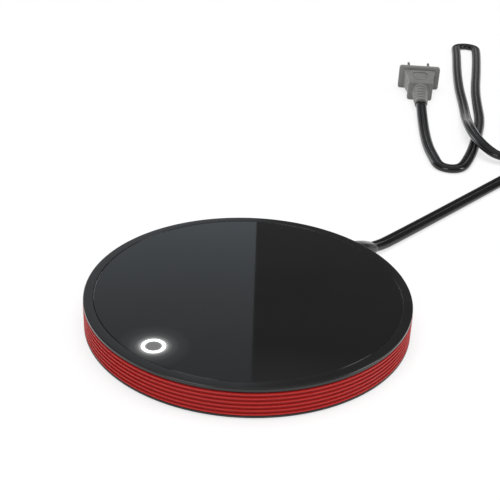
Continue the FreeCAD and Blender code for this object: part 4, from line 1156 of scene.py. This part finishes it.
def make_plug():
    """Every piece of the plug, returned in one list."""
    material = MATERIALS["plug_pvc"]
    pieces = [make_plug_body(material)]
    for side in (1, -1):
        pieces += make_grip(side, material)
    blades = []
    for name, side in (("blade_left", 1), ("blade_right", -1)):
        blade = make_blade(name, side)
        dress(blade, MATERIALS["blade_metal"])
        blades.append(blade)
    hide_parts("plug_blades")
    return pieces + blades + [frame["nodes"]["plug_insert"]]


# Floor, lights and camera

def ray_switch(tree):
    """1 for rays straight from the camera or off a glossy or clear surface, else 0."""
    path = tree.nodes.new("ShaderNodeLightPath")
    value = path.outputs["Is Camera Ray"]
    for other in ("Is Glossy Ray", "Is Transmission Ray"):
        both = tree.nodes.new("ShaderNodeMath")
        both.operation = "MAXIMUM"
        tree.links.new(value, both.inputs[0])
        tree.links.new(path.outputs[other], both.inputs[1])
        value = both.outputs["Value"]
    return value


FLOOR_SIZE = 60.0
FLOOR_WHITE = 0.86
FLOOR_LIFT = 0.72


def make_floor():
    """White surface that keeps the object's shadow and shows near white elsewhere."""
    bpy.ops.mesh.primitive_plane_add(size=FLOOR_SIZE)
    floor = bpy.context.object
    floor.name = "floor"
    material, tree, output = empty_material("floor_white")
    diffuse = tree.nodes.new("ShaderNodeBsdfDiffuse")
    diffuse.inputs["Color"].default_value = (*grey(FLOOR_WHITE), 1.0)
    glow = tree.nodes.new("ShaderNodeEmission")
    glow.inputs["Strength"].default_value = 1.0
    scaled = tree.nodes.new("ShaderNodeMath")
    scaled.operation = "MULTIPLY"
    scaled.inputs[1].default_value = FLOOR_LIFT
    tree.links.new(ray_switch(tree), scaled.inputs[0])
    blend = tree.nodes.new("ShaderNodeMixShader")
    tree.links.new(scaled.outputs["Value"], blend.inputs["Fac"])
    tree.links.new(diffuse.outputs["BSDF"], blend.inputs[1])
    tree.links.new(glow.outputs["Emission"], blend.inputs[2])
    tree.links.new(blend.outputs["Shader"], output.inputs["Surface"])
    floor.data.materials.append(material)


SKY_STOPS = (
    # sine of the height above the horizon, brightness
    (0.00, 1.0),
    (0.10, 0.9),
    (0.22, 0.22),
    (0.36, 0.11),
    (0.62, 0.11),
    (0.80, 0.45),
    (1.00, 0.6),
)


def make_world():
    """Pale at the horizon, dark between there and the soft light overhead."""
    world = bpy.data.worlds.new("studio")
    world.use_nodes = True
    bpy.context.scene.world = world
    tree = world.node_tree
    tree.nodes.clear()
    output = tree.nodes.new("ShaderNodeOutputWorld")
    back = tree.nodes.new("ShaderNodeBackground")
    place = tree.nodes.new("ShaderNodeTexCoord")
    split = tree.nodes.new("ShaderNodeSeparateXYZ")
    tree.links.new(place.outputs["Generated"], split.inputs["Vector"])
    sky = ramp(tree, split.outputs["Z"], [(z, grey(v)) for z, v in SKY_STOPS])
    tree.links.new(sky, back.inputs["Color"])
    tree.links.new(back.outputs["Background"], output.inputs["Surface"])


def make_lamp(name, place, aim, wide, tall, power, seen=True):
    """Rectangle of light turned to a place, hidden from the camera, and from reflections if unseen."""
    data = bpy.data.lights.new(name, "AREA")
    data.shape = "RECTANGLE"
    data.size = wide
    data.size_y = tall
    data.energy = power
    lamp = bpy.data.objects.new(name, data)
    bpy.context.scene.collection.objects.link(lamp)
    lamp.location = place
    lamp.rotation_euler = (Vector(aim) - Vector(place)).to_track_quat("-Z", "Y").to_euler()
    lamp.visible_camera = False
    lamp.visible_glossy = seen


def make_lights():
    middle = (0.0, 0.0, 0.0)
    make_lamp("overhead", (0.05, 0.10, 1.7), (0.05, 0.10, 0.0), wide=1.6, tall=1.6, power=26.0, seen=False)
    make_lamp("left_back", (-1.0, 1.5, 0.30), middle, wide=0.5, tall=0.35, power=1.6)
    make_lamp("front_left", (-1.0, -1.3, 1.0), middle, wide=0.9, tall=0.9, power=10.0)
    make_lamp("right_side", (1.6, -0.2, 0.7), middle, wide=0.6, tall=1.0, power=9.0)


CARD_Y = 1.30
CARD_EDGE_LOW = 0.0122
CARD_EDGE_HIGH = 0.0183
CARD_LOW = 0.42
CARD_HIGH = 1.35
CARD_LEFT = -1.1
CARD_FOOT = (0.44, 0.49, 0.54)
CARD_HEAD = (0.36, 0.37, 0.40)


def make_card():
    """Pale card behind on the left. Its upright edge is the soft line across the glass."""
    corners = [
        (CARD_LEFT, CARD_Y, CARD_LOW),
        (CARD_EDGE_LOW, CARD_Y, CARD_LOW),
        (CARD_EDGE_HIGH, CARD_Y, CARD_HIGH),
        (CARD_LEFT, CARD_Y, CARD_HIGH),
    ]
    card = mesh_piece("left_card", [Vector(c) / MM for c in corners], [(0, 1, 2, 3)])
    material, tree, output = empty_material("card_light")
    glow = tree.nodes.new("ShaderNodeEmission")
    place = tree.nodes.new("ShaderNodeTexCoord")
    split = tree.nodes.new("ShaderNodeSeparateXYZ")
    tree.links.new(place.outputs["Object"], split.inputs["Vector"])
    rise = map_range(tree, split.outputs["Z"], CARD_LOW, CARD_HIGH, 0.0, 1.0)
    tree.links.new(ramp(tree, rise, [(0.0, CARD_FOOT), (1.0, CARD_HEAD)]), glow.inputs["Color"])
    tree.links.new(glow.outputs["Emission"], output.inputs["Surface"])
    card.data.materials.append(material)
    card.visible_camera = False


def make_camera():
    data = bpy.data.cameras.new("camera")
    data.lens = CAMERA_LENS
    data.sensor_width = CAMERA_SENSOR
    data.clip_start = CAMERA_NEAR
    camera = bpy.data.objects.new("camera", data)
    bpy.context.scene.collection.objects.link(camera)
    tilt = Matrix.Rotation(math.radians(90 - CAMERA_PITCH), 4, "X")
    roll = Matrix.Rotation(math.radians(CAMERA_ROLL), 4, "Z")
    camera.matrix_world = Matrix.Translation(Vector(CAMERA_PLACE)) @ (tilt @ roll)
    bpy.context.scene.camera = camera


def main():
    make_camera()
    make_materials()
    dress_cad_nodes()
    make_band()
    make_bezel()
    make_glass()
    make_key_mark()
    boot = make_strain_relief()
    make_lead([boot] + make_plug())
    make_floor()
    make_world()
    make_lights()
    make_card()
    bpy.context.scene.view_settings.view_transform = "Standard"


main()
